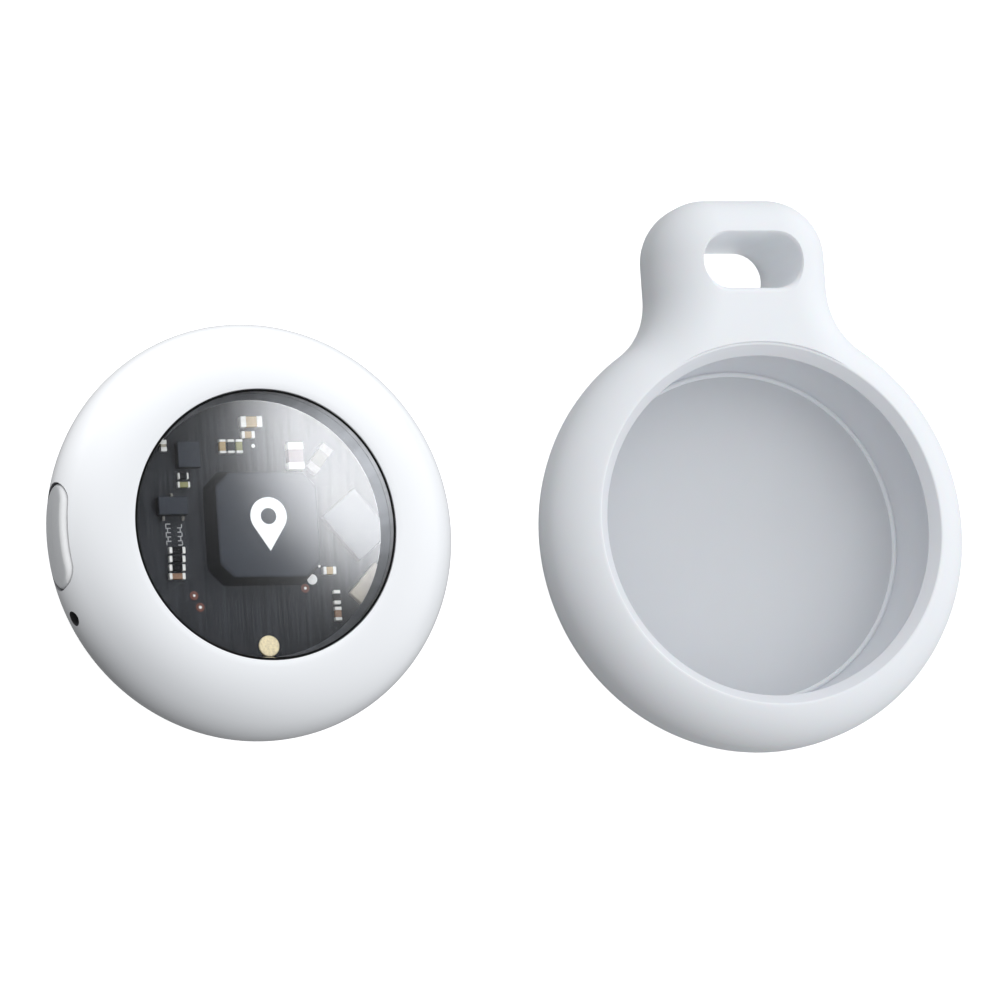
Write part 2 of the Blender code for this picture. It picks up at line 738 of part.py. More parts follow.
def edge_levels(steps=4):
    """(inset, z) pairs up the full-round edge."""
    low = HOLDER_EDGE_R
    high = HOLDER_THICK - HOLDER_EDGE_R
    lower = arc((0.0, low), (HOLDER_EDGE_R, HOLDER_EDGE_R), -90, 0, steps)
    upper = arc((0.0, high), (HOLDER_EDGE_R, HOLDER_EDGE_R), 0, 90, steps)
    return [(HOLDER_EDGE_R - out, z) for out, z in lower + upper]


def slot_cutter():
    """A slot-shaped cutter that flares at both ends, so that the slot's lips are rounded."""
    lip = SLOT_LIP_R
    levels = [(lip + PAST / 2, -PAST / 2), (lip, 0.0), (lip * 0.3, lip * 0.3), (0.0, lip)]
    levels += [(grow, HOLDER_THICK - z) for grow, z in reversed(levels)]
    rings = []
    for grow, z in levels:
        outline = stadium(SLOT_LENGTH + 2 * grow, SLOT_HEIGHT + 2 * grow)
        rings.append([(x, y + SLOT_Y, z) for x, y in outline])
    return loft("slot_cutter", rings, CUTTERS)


def pocket_cutter():
    """The pocket: a bevelled mouth over an undercut that is wider than the mouth."""
    mouth_z = HOLDER_THICK - MOUTH_DROP
    under_radii = (POCKET_R - MOUTH_INNER_R, mouth_z - POCKET_WIDEST_Z)
    under = arc((MOUTH_INNER_R, POCKET_WIDEST_Z), under_radii, 90, 0, 5)
    lower_radii = (POCKET_R - POCKET_FLOOR_R, POCKET_WIDEST_Z - POCKET_FLOOR_Z)
    lower = arc((POCKET_FLOOR_R, POCKET_WIDEST_Z), lower_radii, 0, -90, 6)[1:]
    over = HOLDER_THICK + PAST
    mouth = [(0.0, over), (MOUTH_OUTER_R + PAST, over), (MOUTH_INNER_R, mouth_z)]
    profile = mouth + under[1:] + lower + [(0.0, POCKET_FLOOR_Z)]
    return turned("pocket_cutter", profile, FINE_STEPS, CUTTERS)


def holder_sleeve():
    rings = [[(x, y, z) for x, y in holder_outline(inset)] for inset, z in edge_levels()]
    sleeve = loft("holder_sleeve", rings)
    for cutter in (pocket_cutter(), slot_cutter()):
        cutter.parent = HOLDER
        cut(sleeve, cutter)
    return finish(sleeve, "soft_silicone", HOLDER)


def main():
    cover_pivot = empty("cover_pivot", (TAG_X, TAG_Y, 0.0))
    button_slide = empty("button_slide", (TAG_X, TAG_Y, 0.0))
    front_housing()
    rear_housing()
    window_lens()
    lens_gasket()
    inner_bezel()
    circuit_board()
    processor_shield()
    regulator()
    chips()
    gold_contact()
    small_parts()
    coin_cell()
    battery_carrier()
    negative_contact()
    positive_contact()
    tact_switch()
    buzzer()
    sound_mesh()
    rear_cover(cover_pivot)
    cover_seal(cover_pivot)
    side_button(button_slide)
    button_pad(button_slide)
    switch_plunger(button_slide)
    holder_sleeve()


main()
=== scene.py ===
"""The looks of a round tracker tag and its silicone loop holder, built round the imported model.

Lengths are in metres, and MM turns millimetres into metres. The tag's and the holder's places are read
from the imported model. Each visible piece is modelled again here with fine curves and its own material.
"""

import math
import random

import bmesh
import bpy
from mathutils import Matrix, Vector


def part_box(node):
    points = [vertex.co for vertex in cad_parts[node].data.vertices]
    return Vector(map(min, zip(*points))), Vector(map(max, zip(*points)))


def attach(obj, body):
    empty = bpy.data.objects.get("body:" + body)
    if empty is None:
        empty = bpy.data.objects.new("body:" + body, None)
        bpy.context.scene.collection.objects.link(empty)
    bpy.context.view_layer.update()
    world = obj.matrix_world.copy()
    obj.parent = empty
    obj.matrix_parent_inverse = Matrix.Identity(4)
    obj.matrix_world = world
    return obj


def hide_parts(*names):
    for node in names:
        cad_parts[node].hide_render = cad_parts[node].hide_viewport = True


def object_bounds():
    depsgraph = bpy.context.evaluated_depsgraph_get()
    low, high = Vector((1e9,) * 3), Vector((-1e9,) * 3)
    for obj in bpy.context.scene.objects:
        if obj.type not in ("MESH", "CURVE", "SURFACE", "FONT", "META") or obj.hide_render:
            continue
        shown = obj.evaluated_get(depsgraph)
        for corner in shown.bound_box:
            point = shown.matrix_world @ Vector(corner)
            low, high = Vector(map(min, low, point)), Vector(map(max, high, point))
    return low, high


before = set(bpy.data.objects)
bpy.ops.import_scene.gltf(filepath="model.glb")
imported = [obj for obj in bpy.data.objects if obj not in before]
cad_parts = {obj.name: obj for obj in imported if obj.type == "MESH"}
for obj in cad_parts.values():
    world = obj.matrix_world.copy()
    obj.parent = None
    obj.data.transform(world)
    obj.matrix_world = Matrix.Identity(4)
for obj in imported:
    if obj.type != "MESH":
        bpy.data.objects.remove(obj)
CAD_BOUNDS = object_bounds()

MM = 0.001


def middle(node):
    low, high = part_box(node)
    return (low + high) / 2


# ---------------------------------------------------------------- places and sizes

BOARD_LOW, BOARD_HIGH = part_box("circuit_board")
TAG = Vector((middle("circuit_board").x, middle("circuit_board").y, 0.0))
BOARD_TOP = BOARD_HIGH.z

TAG_R = TAG.x - CAD_BOUNDS[0].x
TAG_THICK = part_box("front_housing")[1].z
RIM_Z = 4.2 * MM
TOP_RIM_R = 11.0 * MM
FOOT_R = 12.6 * MM
WALL = 1.2 * MM
SEAM_Z = 2.1 * MM
SEAM_GAP = 0.1 * MM
WINDOW_R = 10.4 * MM
RING_LOW, RING_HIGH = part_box("lens_gasket")
LENS_R = RING_HIGH.x - TAG.x - 0.14 * MM

HOLDER_LOW, HOLDER_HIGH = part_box("holder_sleeve")
HOLDER_R = (HOLDER_HIGH.x - HOLDER_LOW.x) / 2
HOLDER_THICK = HOLDER_HIGH.z
HOLDER = Vector((middle("holder_sleeve").x, HOLDER_LOW.y + HOLDER_R, 0.0))
HOLDER_EDGE_R = 4.1 * MM
TAB_HALF_WIDTH = 7.1 * MM
TAB_REACH = HOLDER_HIGH.y - HOLDER.y
TAB_CORNER_R = 4.6 * MM
FLARE_R = 5.5 * MM
SLOT_LENGTH = 8.05 * MM
SLOT_HEIGHT = 4.3 * MM
SLOT_Y = 20.6 * MM
SLOT_LIP_R = 0.5 * MM
MOUTH_INNER_R = 13.1 * MM
MOUTH_Z = HOLDER_THICK - 1.1 * MM
MOUTH_EDGE_R = 0.15 * MM
LIP_TIP_R = 0.1 * MM
POCKET_R = 16.1 * MM
POCKET_FLOOR_R = 13.1 * MM
POCKET_FLOOR_Z = 2.2 * MM
POCKET_WIDEST_Z = 6.4 * MM
BEAD_R = 0.2 * MM

BUTTON_LENGTH = 8.3 * MM
BUTTON_HEIGHT = 3.6 * MM
BUTTON_Y = -0.2 * MM
BUTTON_Z = 4.45 * MM
BUTTON_CLEAR = 0.13 * MM
BUTTON_BACK = -13.6 * MM
BUTTON_HOLE_END = -13 * MM
BUTTON_BULGE = 0.75
SOUND_ANGLE = math.radians(204)
SOUND_Z = 4.5 * MM
SOUND_HOLE_R = 0.6 * MM

BAND_FOOT_Z = 5.8 * MM
BAND_FOOT_R = 9.86 * MM
BAND_LIT_ANGLE = math.radians(28)

HAZE_Z = 7.0 * MM
HAZE_THICK = 0.04 * MM
HAZE_R = BAND_FOOT_R + 0.04 * MM
HAZE_REACH = 10.0 * MM
GLARE = TAG + Vector((13.8 * MM, 9.4 * MM, HAZE_Z))
GLARE_DISTANCE = 80 * MM

COVER_R = 10.5 * MM
COVER_TOP = 0.65 * MM
LUGS = 3
EDGE_SOFT = 0.06 * MM
GAP = 0.05 * MM
ROUND_STEPS = 192
MERGE = 1e-7


# ---------------------------------------------------------------- camera, floor and light

CAMERA_BACK = Vector((-0.345, -0.154, 0.926)).normalized()
CAMERA_RIGHT = Vector((0.9385, -0.0672, 0.3386))
CAMERA_DISTANCE = 0.836
CAMERA_LENS = 390.9
CAMERA_AIM = Vector((1.0 * MM, -0.92 * MM, 0.29 * MM))
LIGHT_FROM = Vector((0.70, 0.47, 0.53)).normalized()
DIM_SIDE = 0.13
BRIGHT_SIDE = 1.37
BELOW_SHARE = 0.5
# Each collection holds the pieces that a lamp of their own lights.
HAZE = bpy.data.collections.new("window_haze_only")
HOLDERS = bpy.data.collections.new("holder_only")
SHELLS = bpy.data.collections.new("tag_shells")
BEZELS = bpy.data.collections.new("bezel_only")


def make_camera():
    right = (CAMERA_RIGHT - CAMERA_RIGHT.dot(CAMERA_BACK) * CAMERA_BACK).normalized()
    up = CAMERA_BACK.cross(right)
    camera = bpy.data.objects.new("camera", bpy.data.cameras.new("camera"))
    bpy.context.scene.collection.objects.link(camera)
    turn = Matrix((right, up, CAMERA_BACK)).transposed().to_4x4()
    camera.matrix_world = Matrix.Translation(CAMERA_AIM + CAMERA_BACK * CAMERA_DISTANCE) @ turn
    camera.data.lens = CAMERA_LENS
    camera.data.sensor_width = 36.0
    camera.data.clip_start = 0.01
    camera.data.clip_end = 10.0
    bpy.context.scene.camera = camera


def area_light(name, place, aim, size, power):
    data = bpy.data.lights.new(name, "AREA")
    data.size = size
    data.energy = power
    light = bpy.data.objects.new(name, data)
    light.location = place
    light.rotation_mode = "QUATERNION"
    light.rotation_quaternion = (Vector(aim) - Vector(place)).to_track_quat("-Z", "Y")
    light.visible_camera = False
    bpy.context.scene.collection.objects.link(light)
    return light


def light_glare():
    """The lamp whose reflection in the film is the window's glare."""
    mirror = Vector((-CAMERA_BACK.x, -CAMERA_BACK.y, CAMERA_BACK.z))
    glint = area_light("window_glint", GLARE + mirror * GLARE_DISTANCE, GLARE, 29 * MM, 1.62)
    glint.data.shape = "DISK"
    glint.light_linking.receiver_collection = HAZE
    glint.light_linking.blocker_collection = HAZE


def light_band():
    """A small lamp that brightens one side of the grey band."""
    far_wall = TAG + polar(10.0 * MM, BAND_LIT_ANGLE, 6.5 * MM)
    place = TAG + polar(4.4 * MM, BAND_LIT_ANGLE, 8.6 * MM)
    band = area_light("band_light", place, far_wall, 3 * MM, 0.0013)
    band.visible_glossy = False
    band.visible_transmission = False
    band.light_linking.receiver_collection = BEZELS
    band.light_linking.blocker_collection = BEZELS


def light_shell(name, offset, target, power):
    """A lamp for the tag's shells alone; offset and target are counted from the tag's foot."""
    lamp = area_light(name, TAG + offset, TAG + target, 30 * MM, power)
    lamp.visible_glossy = False
    lamp.light_linking.receiver_collection = SHELLS


def light_slot():
    """A faint lamp at the foot of the loop's slot, for the light a table would send up through it."""
    place = HOLDER + Vector((0.0, SLOT_Y, 0.0))
    under = area_light("slot_light", place, place + Vector((0.0, 0.0, 1.0)), SLOT_HEIGHT, 0.00005)
    under.light_linking.receiver_collection = HOLDERS


def make_lights():
    light_glare()
    light_band()
    top_left = Vector((-4 * MM, 8 * MM, 8 * MM))
    left_rim = Vector((-13 * MM, 6 * MM, 5 * MM))
    light_shell("tag_light", Vector((50 * MM, 40 * MM, 60 * MM)), top_left, 0.022)
    light_shell("tag_edge_light", Vector((-70 * MM, 70 * MM, 12 * MM)), left_rim, 0.068)
    light_slot()


def make_world():
    """Soft light from every side, strongest from the upper right, and fading below the horizon."""
    world = bpy.data.worlds.new("studio")
    world.use_nodes = True
    tree = world.node_tree
    shade = tree.nodes["Background"]
    shade.inputs["Color"].default_value = (0.965, 0.98, 1.0, 1.0)
    direction = tree.nodes.new("ShaderNodeTexCoord").outputs["Generated"]

    def brightness(axis, start, end, low, high):
        toward = tree.nodes.new("ShaderNodeVectorMath")
        toward.operation = "DOT_PRODUCT"
        toward.inputs[1].default_value = axis
        span = tree.nodes.new("ShaderNodeMapRange")
        span.inputs["From Min"].default_value = start
        span.inputs["From Max"].default_value = end
        span.inputs["To Min"].default_value = low
        span.inputs["To Max"].default_value = high
        tree.links.new(direction, toward.inputs[0])
        tree.links.new(toward.outputs["Value"], span.inputs["Value"])
        return span.outputs["Result"]

    product = tree.nodes.new("ShaderNodeMath")
    product.operation = "MULTIPLY"
    tree.links.new(brightness(LIGHT_FROM, -1.0, 1.0, DIM_SIDE, BRIGHT_SIDE), product.inputs[0])
    tree.links.new(brightness((0.0, 0.0, 1.0), -0.6, 0.0, BELOW_SHARE, 1.0), product.inputs[1])
    tree.links.new(product.outputs["Value"], shade.inputs["Strength"])
    bpy.context.scene.world = world
    bpy.context.scene.view_settings.view_transform = "Standard"


def make_floor():
    """A pale floor; part of its brightness is its own, so that the shadows stay faint."""
    mesh = bpy.data.meshes.new("floor")
    cage = bmesh.new()
    bmesh.ops.create_grid(cage, x_segments=1, y_segments=1, size=2.0)
    cage.to_mesh(mesh)
    cage.free()
    floor = bpy.data.objects.new("floor", mesh)
    floor.location.z = -0.02 * MM
    floor.visible_diffuse = False
    floor.visible_glossy = False
    bpy.context.scene.collection.objects.link(floor)
    material = bpy.data.materials.new("floor_paper")
    material.use_nodes = True
    shader = material.node_tree.nodes["Principled BSDF"]
    shader.inputs["Base Color"].default_value = (0.9, 0.9, 0.9, 1.0)
    shader.inputs["Roughness"].default_value = 0.9
    shader.inputs["Specular IOR Level"].default_value = 0.1
    shader.inputs["Emission Color"].default_value = (1.0, 1.0, 1.0, 1.0)
    shader.inputs["Emission Strength"].default_value = 0.75
    mesh.materials.append(material)


# ---------------------------------------------------------------- materials


class Look:
    """A Principled material with a few helpers for procedural detail."""

    def __init__(self, name, colour, roughness, metallic=0.0):
        self.material = bpy.data.materials.new(name)
        self.material.use_nodes = True
        self.tree = self.material.node_tree
        self.shader = self.tree.nodes["Principled BSDF"]
        self.colour = colour
        self.set("Base Color", (*colour, 1.0))
        self.set("Roughness", roughness)
        self.set("Metallic", metallic)
        self.place = self.add("ShaderNodeTexCoord").outputs["Object"]

    def add(self, kind):
        return self.tree.nodes.new(kind)

    def link(self, start, end):
        self.tree.links.new(start, end)

    def set(self, socket, value):
        self.shader.inputs[socket].default_value = value
        return self

    def noise(self, scale, stretch=(1.0, 1.0, 1.0)):
        mapping = self.add("ShaderNodeMapping")
        mapping.inputs["Scale"].default_value = stretch
        self.link(self.place, mapping.inputs["Vector"])
        noise = self.add("ShaderNodeTexNoise")
        noise.inputs["Scale"].default_value = scale
        noise.inputs["Detail"].default_value = 3.0
        self.link(mapping.outputs["Vector"], noise.inputs["Vector"])
        return noise.outputs["Fac"]

    def ramp(self, source, stops):
        ramp = self.add("ShaderNodeValToRGB")
        while len(ramp.color_ramp.elements) < len(stops):
            ramp.color_ramp.elements.new(0.5)
        for element, (position, colour) in zip(ramp.color_ramp.elements, stops):
            element.position = position
            element.color = (*colour, 1.0)
        self.link(source, ramp.inputs["Fac"])
        return ramp.outputs["Color"]

    def mottle(self, scale, amount, stretch=(1.0, 1.0, 1.0)):
        """Vary the base colour a little, by a share of its own brightness."""
        dark = tuple(c * (1 - amount) for c in self.colour)
        light = tuple(min(1.0, c * (1 + amount)) for c in self.colour)
        shades = self.ramp(self.noise(scale, stretch), [(0.35, dark), (0.65, light)])
        self.link(shades, self.shader.inputs["Base Color"])
        return self

    def paint_shade_below(self, low, high, share):
        """Paint shade into the colour: fade it from full at the high level to a share of itself at the
        low one.
        """
        height = self.add("ShaderNodeSeparateXYZ")
        self.link(self.place, height.inputs["Vector"])
        span = self.add("ShaderNodeMapRange")
        span.inputs["From Min"].default_value = low
        span.inputs["From Max"].default_value = high
        span.inputs["To Min"].default_value = share
        self.link(height.outputs["Z"], span.inputs["Value"])
        dim = self.add("ShaderNodeVectorMath")
        dim.operation = "SCALE"
        colour = self.shader.inputs["Base Color"].links[0].from_socket
        self.link(colour, dim.inputs["Vector"])
        self.link(span.outputs["Result"], dim.inputs["Scale"])
        self.link(dim.outputs["Vector"], self.shader.inputs["Base Color"])
        return self

    def vary_roughness(self, scale, low, high):
        span = self.add("ShaderNodeMapRange")
        span.inputs["To Min"].default_value = low
        span.inputs["To Max"].default_value = high
        self.link(self.noise(scale), span.inputs["Value"])
        self.link(span.outputs["Result"], self.shader.inputs["Roughness"])
        return self

    def bump(self, scale, height, stretch=(1.0, 1.0, 1.0)):
        """Raise a fine grain; height is in metres."""
        bump = self.add("ShaderNodeBump")
        bump.inputs["Strength"].default_value = 1.0
        bump.inputs["Distance"].default_value = height
        self.link(self.noise(scale, stretch), bump.inputs["Height"])
        self.link(bump.outputs["Normal"], self.shader.inputs["Normal"])
        return self


def gloss_white():
    look = Look("white_gloss_plastic", (0.725, 0.735, 0.75), 0.3)
    look.set("Coat Weight", 0.35).set("Coat Roughness", 0.12)
    look.mottle(60.0, 0.008).vary_roughness(400.0, 0.27, 0.33).bump(2500.0, 0.4e-6)
    # painted shade: the shell's colour darkens from 6.5 mm down to 0.72 of itself at 3 mm, on the lower
    # rim
    look.paint_shade_below(3.0 * MM, 6.5 * MM, 0.72)
    return look.material


def silicone(name, colour):
    look = Look(name, colour, 0.55)
    look.set("Subsurface Weight", 0.1).set("Subsurface Scale", 0.5 * MM)
    look.set("Sheen Weight", 0.15).set("Sheen Roughness", 0.5)
    look.mottle(90.0, 0.012).vary_roughness(700.0, 0.5, 0.6).bump(4000.0, 2.0e-6)
    return look.material


def clear_plastic():
    """Thin clear plastic, which casts only a faint shadow on what is behind it."""
    look = Look("clear_window", (0.95, 0.96, 0.97), 0.03)
    look.set("Transmission Weight", 1.0).set("IOR", 1.06)
    look.vary_roughness(30.0, 0.02, 0.05)
    clear = look.add("ShaderNodeBsdfTransparent")
    clear.inputs["Color"].default_value = (0.93, 0.94, 0.95, 1.0)
    switch = look.add("ShaderNodeMixShader")
    look.link(look.add("ShaderNodeLightPath").outputs["Is Shadow Ray"], switch.inputs["Fac"])
    look.link(look.shader.outputs["BSDF"], switch.inputs[1])
    look.link(clear.outputs["BSDF"], switch.inputs[2])
    look.link(switch.outputs["Shader"], look.tree.nodes["Material Output"].inputs["Surface"])
    return look.material


def window_haze():
    """A faint rough film, nearly all see-through, that carries the window's glare."""
    look = Look("window_haze", (0.96, 0.97, 1.0), 0.105, 1.0)
    look.set("Alpha", 0.001)
    look.mottle(300.0, 0.02)
    return look.material


def black_rubber():
    look = Look("black_seal", (0.004, 0.004, 0.004), 0.6)
    look.set("Specular IOR Level", 0.1)
    look.mottle(500.0, 0.2).bump(3000.0, 3.0e-6)
    return look.material


def grey_bezel():
    look = Look("grey_bezel_plastic", (0.17, 0.173, 0.18), 0.6)
    look.mottle(900.0, 0.1, (1.0, 1.0, 0.15)).bump(2500.0, 6.0e-6)
    return look.material


def board_mask():
    """Black solder mask over a faint glass weave."""
    look = Look("board_black", (0.022, 0.0235, 0.028), 0.4)
    look.set("Specular IOR Level", 0.2)
    look.mottle(3200.0, 0.35, (1.0, 0.06, 1.0)).vary_roughness(900.0, 0.36, 0.46)
    look.bump(3000.0, 1.5e-6, (1.0, 0.2, 1.0))
    return look.material


def chip_black():
    look = Look("chip_black", (0.025, 0.029, 0.038), 0.4)
    look.set("Specular IOR Level", 0.2)
    look.mottle(3500.0, 0.08).vary_roughness(1500.0, 0.36, 0.44).bump(6000.0, 0.8e-6)
    return look.material


def simple(name, colour, roughness, metallic=0.0, grain=2500.0, amount=0.1, height=3.0e-6, shine=0.5):
    """A plain moulded or plated finish with a fine grain."""
    look = Look(name, colour, roughness, metallic)
    look.set("Specular IOR Level", shine)
    look.mottle(grain, amount)
    look.vary_roughness(grain / 2, roughness * 0.9, min(1.0, roughness * 1.15))
    look.bump(grain * 1.5, height)
    return look.material


GLOSS_WHITE = gloss_white()
SILICONE = silicone("white_silicone", (0.86, 0.88, 0.905))
# painted shade: darker copies of the white silicone for the pocket's bevel, floor and wall, where shade
# falls
SILICONE_BEVEL_PAINTED_SHADE = silicone("white_silicone_bevel_painted_shade", (0.77, 0.785, 0.815))
SILICONE_FLOOR_PAINTED_SHADE = silicone("white_silicone_floor_painted_shade", (0.66, 0.675, 0.70))
SILICONE_WALL_PAINTED_SHADE = silicone("white_silicone_wall_painted_shade", (0.79, 0.805, 0.835))
BUTTON_WHITE = simple("button_white", (0.84, 0.85, 0.86), 0.35, amount=0.01, height=0.5e-6)
# painted highlight: a lighter copy of the button's white for its upward faces
BUTTON_PAINTED_HIGHLIGHT = simple("button_edge_painted_highlight", (0.95, 0.95, 0.95), 0.35, amount=0.01, height=0.5e-6)
# painted shade: dark grey for the walls of the button hole, where shade falls
BUTTON_HOLE_PAINTED_SHADE = simple("button_hole_painted_shade", (0.16, 0.16, 0.17), 0.7)
# painted shade: near black for the wall of the sound hole, where shade falls
SOUND_HOLE_PAINTED_SHADE = simple("sound_hole_painted_shade", (0.02, 0.02, 0.022), 0.8)
WINDOW = clear_plastic()
WINDOW_HAZE = window_haze()
SEAL_BLACK = black_rubber()
BEZEL_GREY = grey_bezel()
BOARD = board_mask()
CHIP = chip_black()
SENSOR_GREY = simple("sensor_grey", (0.09, 0.094, 0.102), 0.45, amount=0.05, shine=0.2)
# painted shade: a darker black for the upright walls of the chips, the regulator and the shield
CHIP_WALL_PAINTED_SHADE = simple("chip_side_painted_shade", (0.005, 0.0055, 0.007), 0.6, shine=0.08)
TRACE = simple("board_trace", (0.040, 0.042, 0.047), 0.4, shine=0.2)
SILKSCREEN = simple("board_silkscreen", (0.42, 0.42, 0.42), 0.7)
PRINT_WHITE = simple("icon_white", (0.90, 0.90, 0.90), 0.55, amount=0.03)
PAD_WHITE = simple("pad_tin", (0.88, 0.87, 0.84), 0.5, amount=0.05)
TIN = simple("tin_terminal", (0.76, 0.75, 0.71), 0.4, 0.25, amount=0.08)
DULL_TIN = simple("dull_tin", (0.22, 0.21, 0.19), 0.5, 0.2, amount=0.1)
CAPACITOR_TAN = simple("capacitor_tan", (0.40, 0.28, 0.13), 0.45)
CAPACITOR_BROWN = simple("capacitor_brown", (0.24, 0.13, 0.07), 0.45)
CAPACITOR_ROSE = simple("capacitor_rose", (0.17, 0.12, 0.12), 0.45)
CAPACITOR_CREAM = simple("capacitor_cream", (0.07, 0.065, 0.03), 0.45)
CAPACITOR_OLIVE = simple("capacitor_olive", (0.25, 0.24, 0.09), 0.45)
RESISTOR = simple("resistor_black", (0.004, 0.004, 0.005), 0.5, shine=0.1)
CERAMIC = simple("ceramic_beige", (0.43, 0.385, 0.30), 0.5, amount=0.06)
COPPER_RING = simple("copper_ring", (0.13, 0.035, 0.02), 0.45)
GOLD = simple("gold_plate", (0.82, 0.70, 0.45), 0.38, 0.55, 5000.0, 0.12, 8.0e-6)
STEEL = simple("brushed_steel", (0.60, 0.61, 0.62), 0.32, 1.0, 1800.0, 0.05)
SPRING = simple("contact_spring", (0.72, 0.62, 0.42), 0.3, 1.0, 1800.0, 0.05)
GREY_SILICONE = simple("grey_silicone", (0.33, 0.34, 0.36), 0.65)
GREY_PLASTIC = simple("grey_plastic", (0.28, 0.29, 0.31), 0.5)
MESH_GREY = simple("mesh_grey", (0.03, 0.03, 0.033), 0.7)

# A piece goes into one of the lamps' collections by its first material.
LIT_ALONE = {
    GLOSS_WHITE.name: SHELLS,
    BEZEL_GREY.name: BEZELS,
    SILICONE.name: HOLDERS,
    WINDOW_HAZE.name: HAZE,
}


# ---------------------------------------------------------------- modelling helpers


def link_mesh(name, fill, place=Vector()):
    mesh = bpy.data.meshes.new(name)
    cage = bmesh.new()
    fill(cage)
    bmesh.ops.remove_doubles(cage, verts=cage.verts, dist=MERGE)
    bmesh.ops.recalc_face_normals(cage, faces=cage.faces)
    cage.to_mesh(mesh)
    cage.free()
    item = bpy.data.objects.new(name, mesh)
    item.location = place
    bpy.context.scene.collection.objects.link(item)
    return item


def arc(centre, radii, start, end, steps):
    """Points along an ellipse's arc, angles in degrees, both ends included."""
    angles = [math.radians(start + (end - start) * i / steps) for i in range(steps + 1)]
    return [(centre[0] + radii[0] * math.cos(a), centre[1] + radii[1] * math.sin(a)) for a in angles]


def quarter_round(radius):
    """Steps over a rounded edge: one distance falls from the radius to 0 as the other grows to it."""
    angles = [i * math.pi / 12 for i in range(7)]
    return [(radius * (1 - math.sin(a)), radius * (1 - math.cos(a))) for a in angles]


def polar(radius, angle, z=0.0):
    return Vector((radius * math.cos(angle), radius * math.sin(angle), z))


def turned(name, profile, place=TAG, steps=ROUND_STEPS):
    """Turn a closed (r, z) profile round Z; at the axis the four-sided faces become triangles."""

    def fill(cage):
        rings = []
        for i in range(steps):
            angle = math.tau * i / steps
            rings.append([cage.verts.new(polar(r, angle, z)) for r, z in profile])
        count = len(profile)
        for ring, after in zip(rings, rings[1:] + rings[:1]):
            for j in range(count):
                k = (j + 1) % count
                corners = [ring[j], after[j], after[k], ring[k]]
                unique = []
                for corner in corners:
                    if all((corner.co - kept.co).length > MERGE for kept in unique):
                        unique.append(corner)
                if len(unique) > 2:
                    cage.faces.new(unique)

    return link_mesh(name, fill, place)


def loft(name, rings, place=TAG):
    """Join equal rings of points by faces and cap both ends."""

    def fill(cage):
        levels = [[cage.verts.new(point) for point in ring] for ring in rings]
        count = len(levels[0])
        for lower, upper in zip(levels, levels[1:]):
            for i in range(count):
                j = (i + 1) % count
                cage.faces.new((lower[i], lower[j], upper[j], upper[i]))
        cage.faces.new(list(reversed(levels[0])))
        cage.faces.new(levels[-1])

    return link_mesh(name, fill, place)


def stadium(length, height, straight=1):
    """A round-ended outline, counter-clockwise; straight is the number of stretches in a side."""
    steps = 16
    radius = height / 2
    reach = length / 2 - radius
    across = [reach - 2 * reach * i / straight for i in range(1, straight)]
    right = arc((reach, 0.0), (radius, radius), -90, 90, steps)
    left = arc((-reach, 0.0), (radius, radius), 90, 270, steps)
    return right + [(x, radius) for x in across] + left + [(-x, -radius) for x in across]


def settle(item):
    """Turn an object's modifiers into mesh, so that its cutters can go."""
    graph = bpy.context.evaluated_depsgraph_get()
    mesh = bpy.data.meshes.new_from_object(item.evaluated_get(graph))
    old = item.data
    item.modifiers.clear()
    item.data = mesh
    bpy.data.meshes.remove(old)
    mesh.name = item.name


def carve(item, cutters):
    """Cut other objects out of a piece, then remove them."""
    for cutter in cutters:
        boolean = item.modifiers.new(cutter.name, "BOOLEAN")
        boolean.object = cutter
        boolean.operation = "DIFFERENCE"
        boolean.solver = "EXACT"
    bpy.context.view_layer.update()
    settle(item)
    for cutter in cutters:
        bpy.data.objects.remove(cutter, do_unlink=True)


def dress(item, materials, body, replaces=(), sharp=30.0):
    """Give a piece its materials, shading and body, and hide the parts it replaces; edges over sharp
    degrees stay hard.
    """
    for material in materials if isinstance(materials, tuple) else (materials,):
        item.data.materials.append(material)
    item.data.shade_smooth()
    item.data.set_sharp_from_angle(angle=math.radians(sharp))
    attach(item, body)
    lit_by = LIT_ALONE.get(item.data.materials[0].name)
    if lit_by:
        lit_by.objects.link(item)
    if replaces:
        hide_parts(*replaces)


def soften(item, width, segments=3):
    bevel = item.modifiers.new("soft_edges", "BEVEL")
    bevel.width = width
    bevel.segments = segments
    bevel.limit_method = "ANGLE"
    bevel.angle_limit = math.radians(30)
    bevel.harden_normals = True


def add_box(cage, size, centre, angle=0.0, material=0):
    """Add a box to a bmesh and return its faces."""
    matrix = Matrix.Translation(centre) @ Matrix.Rotation(angle, 4, "Z") @ Matrix.Diagonal((*size, 1.0))
    made = bmesh.ops.create_cube(cage, size=1.0, matrix=matrix)
    faces = {face for vert in made["verts"] for face in vert.link_faces}
    for face in faces:
        face.material_index = material
    return faces


# ---------------------------------------------------------------- the holder


def holder_outline(inset):
    """The holder seen from above, inset by a distance; the point count never changes."""
    body_r = HOLDER_R - inset
    half = TAB_HALF_WIDTH - inset
    reach = TAB_REACH - inset
    corner = TAB_CORNER_R - inset
    flare = FLARE_R + inset
    flare_x = TAB_HALF_WIDTH + FLARE_R
    flare_y = math.sqrt((HOLDER_R + FLARE_R) ** 2 - flare_x**2)
    meet = math.degrees(math.atan2(flare_y, flare_x))
    points = arc((0.0, 0.0), (body_r, body_r), 180 - meet, 360 + meet, 160)
    points += arc((flare_x, flare_y), (flare, flare), 180 + meet, 180, 24)[1:]
    points += arc((half - corner, reach - corner), (corner, corner), 0, 90, 20)
    points += arc((corner - half, reach - corner), (corner, corner), 90, 180, 20)
    points += arc((-flare_x, flare_y), (flare, flare), 0, -meet, 24)[:-1]
    return points


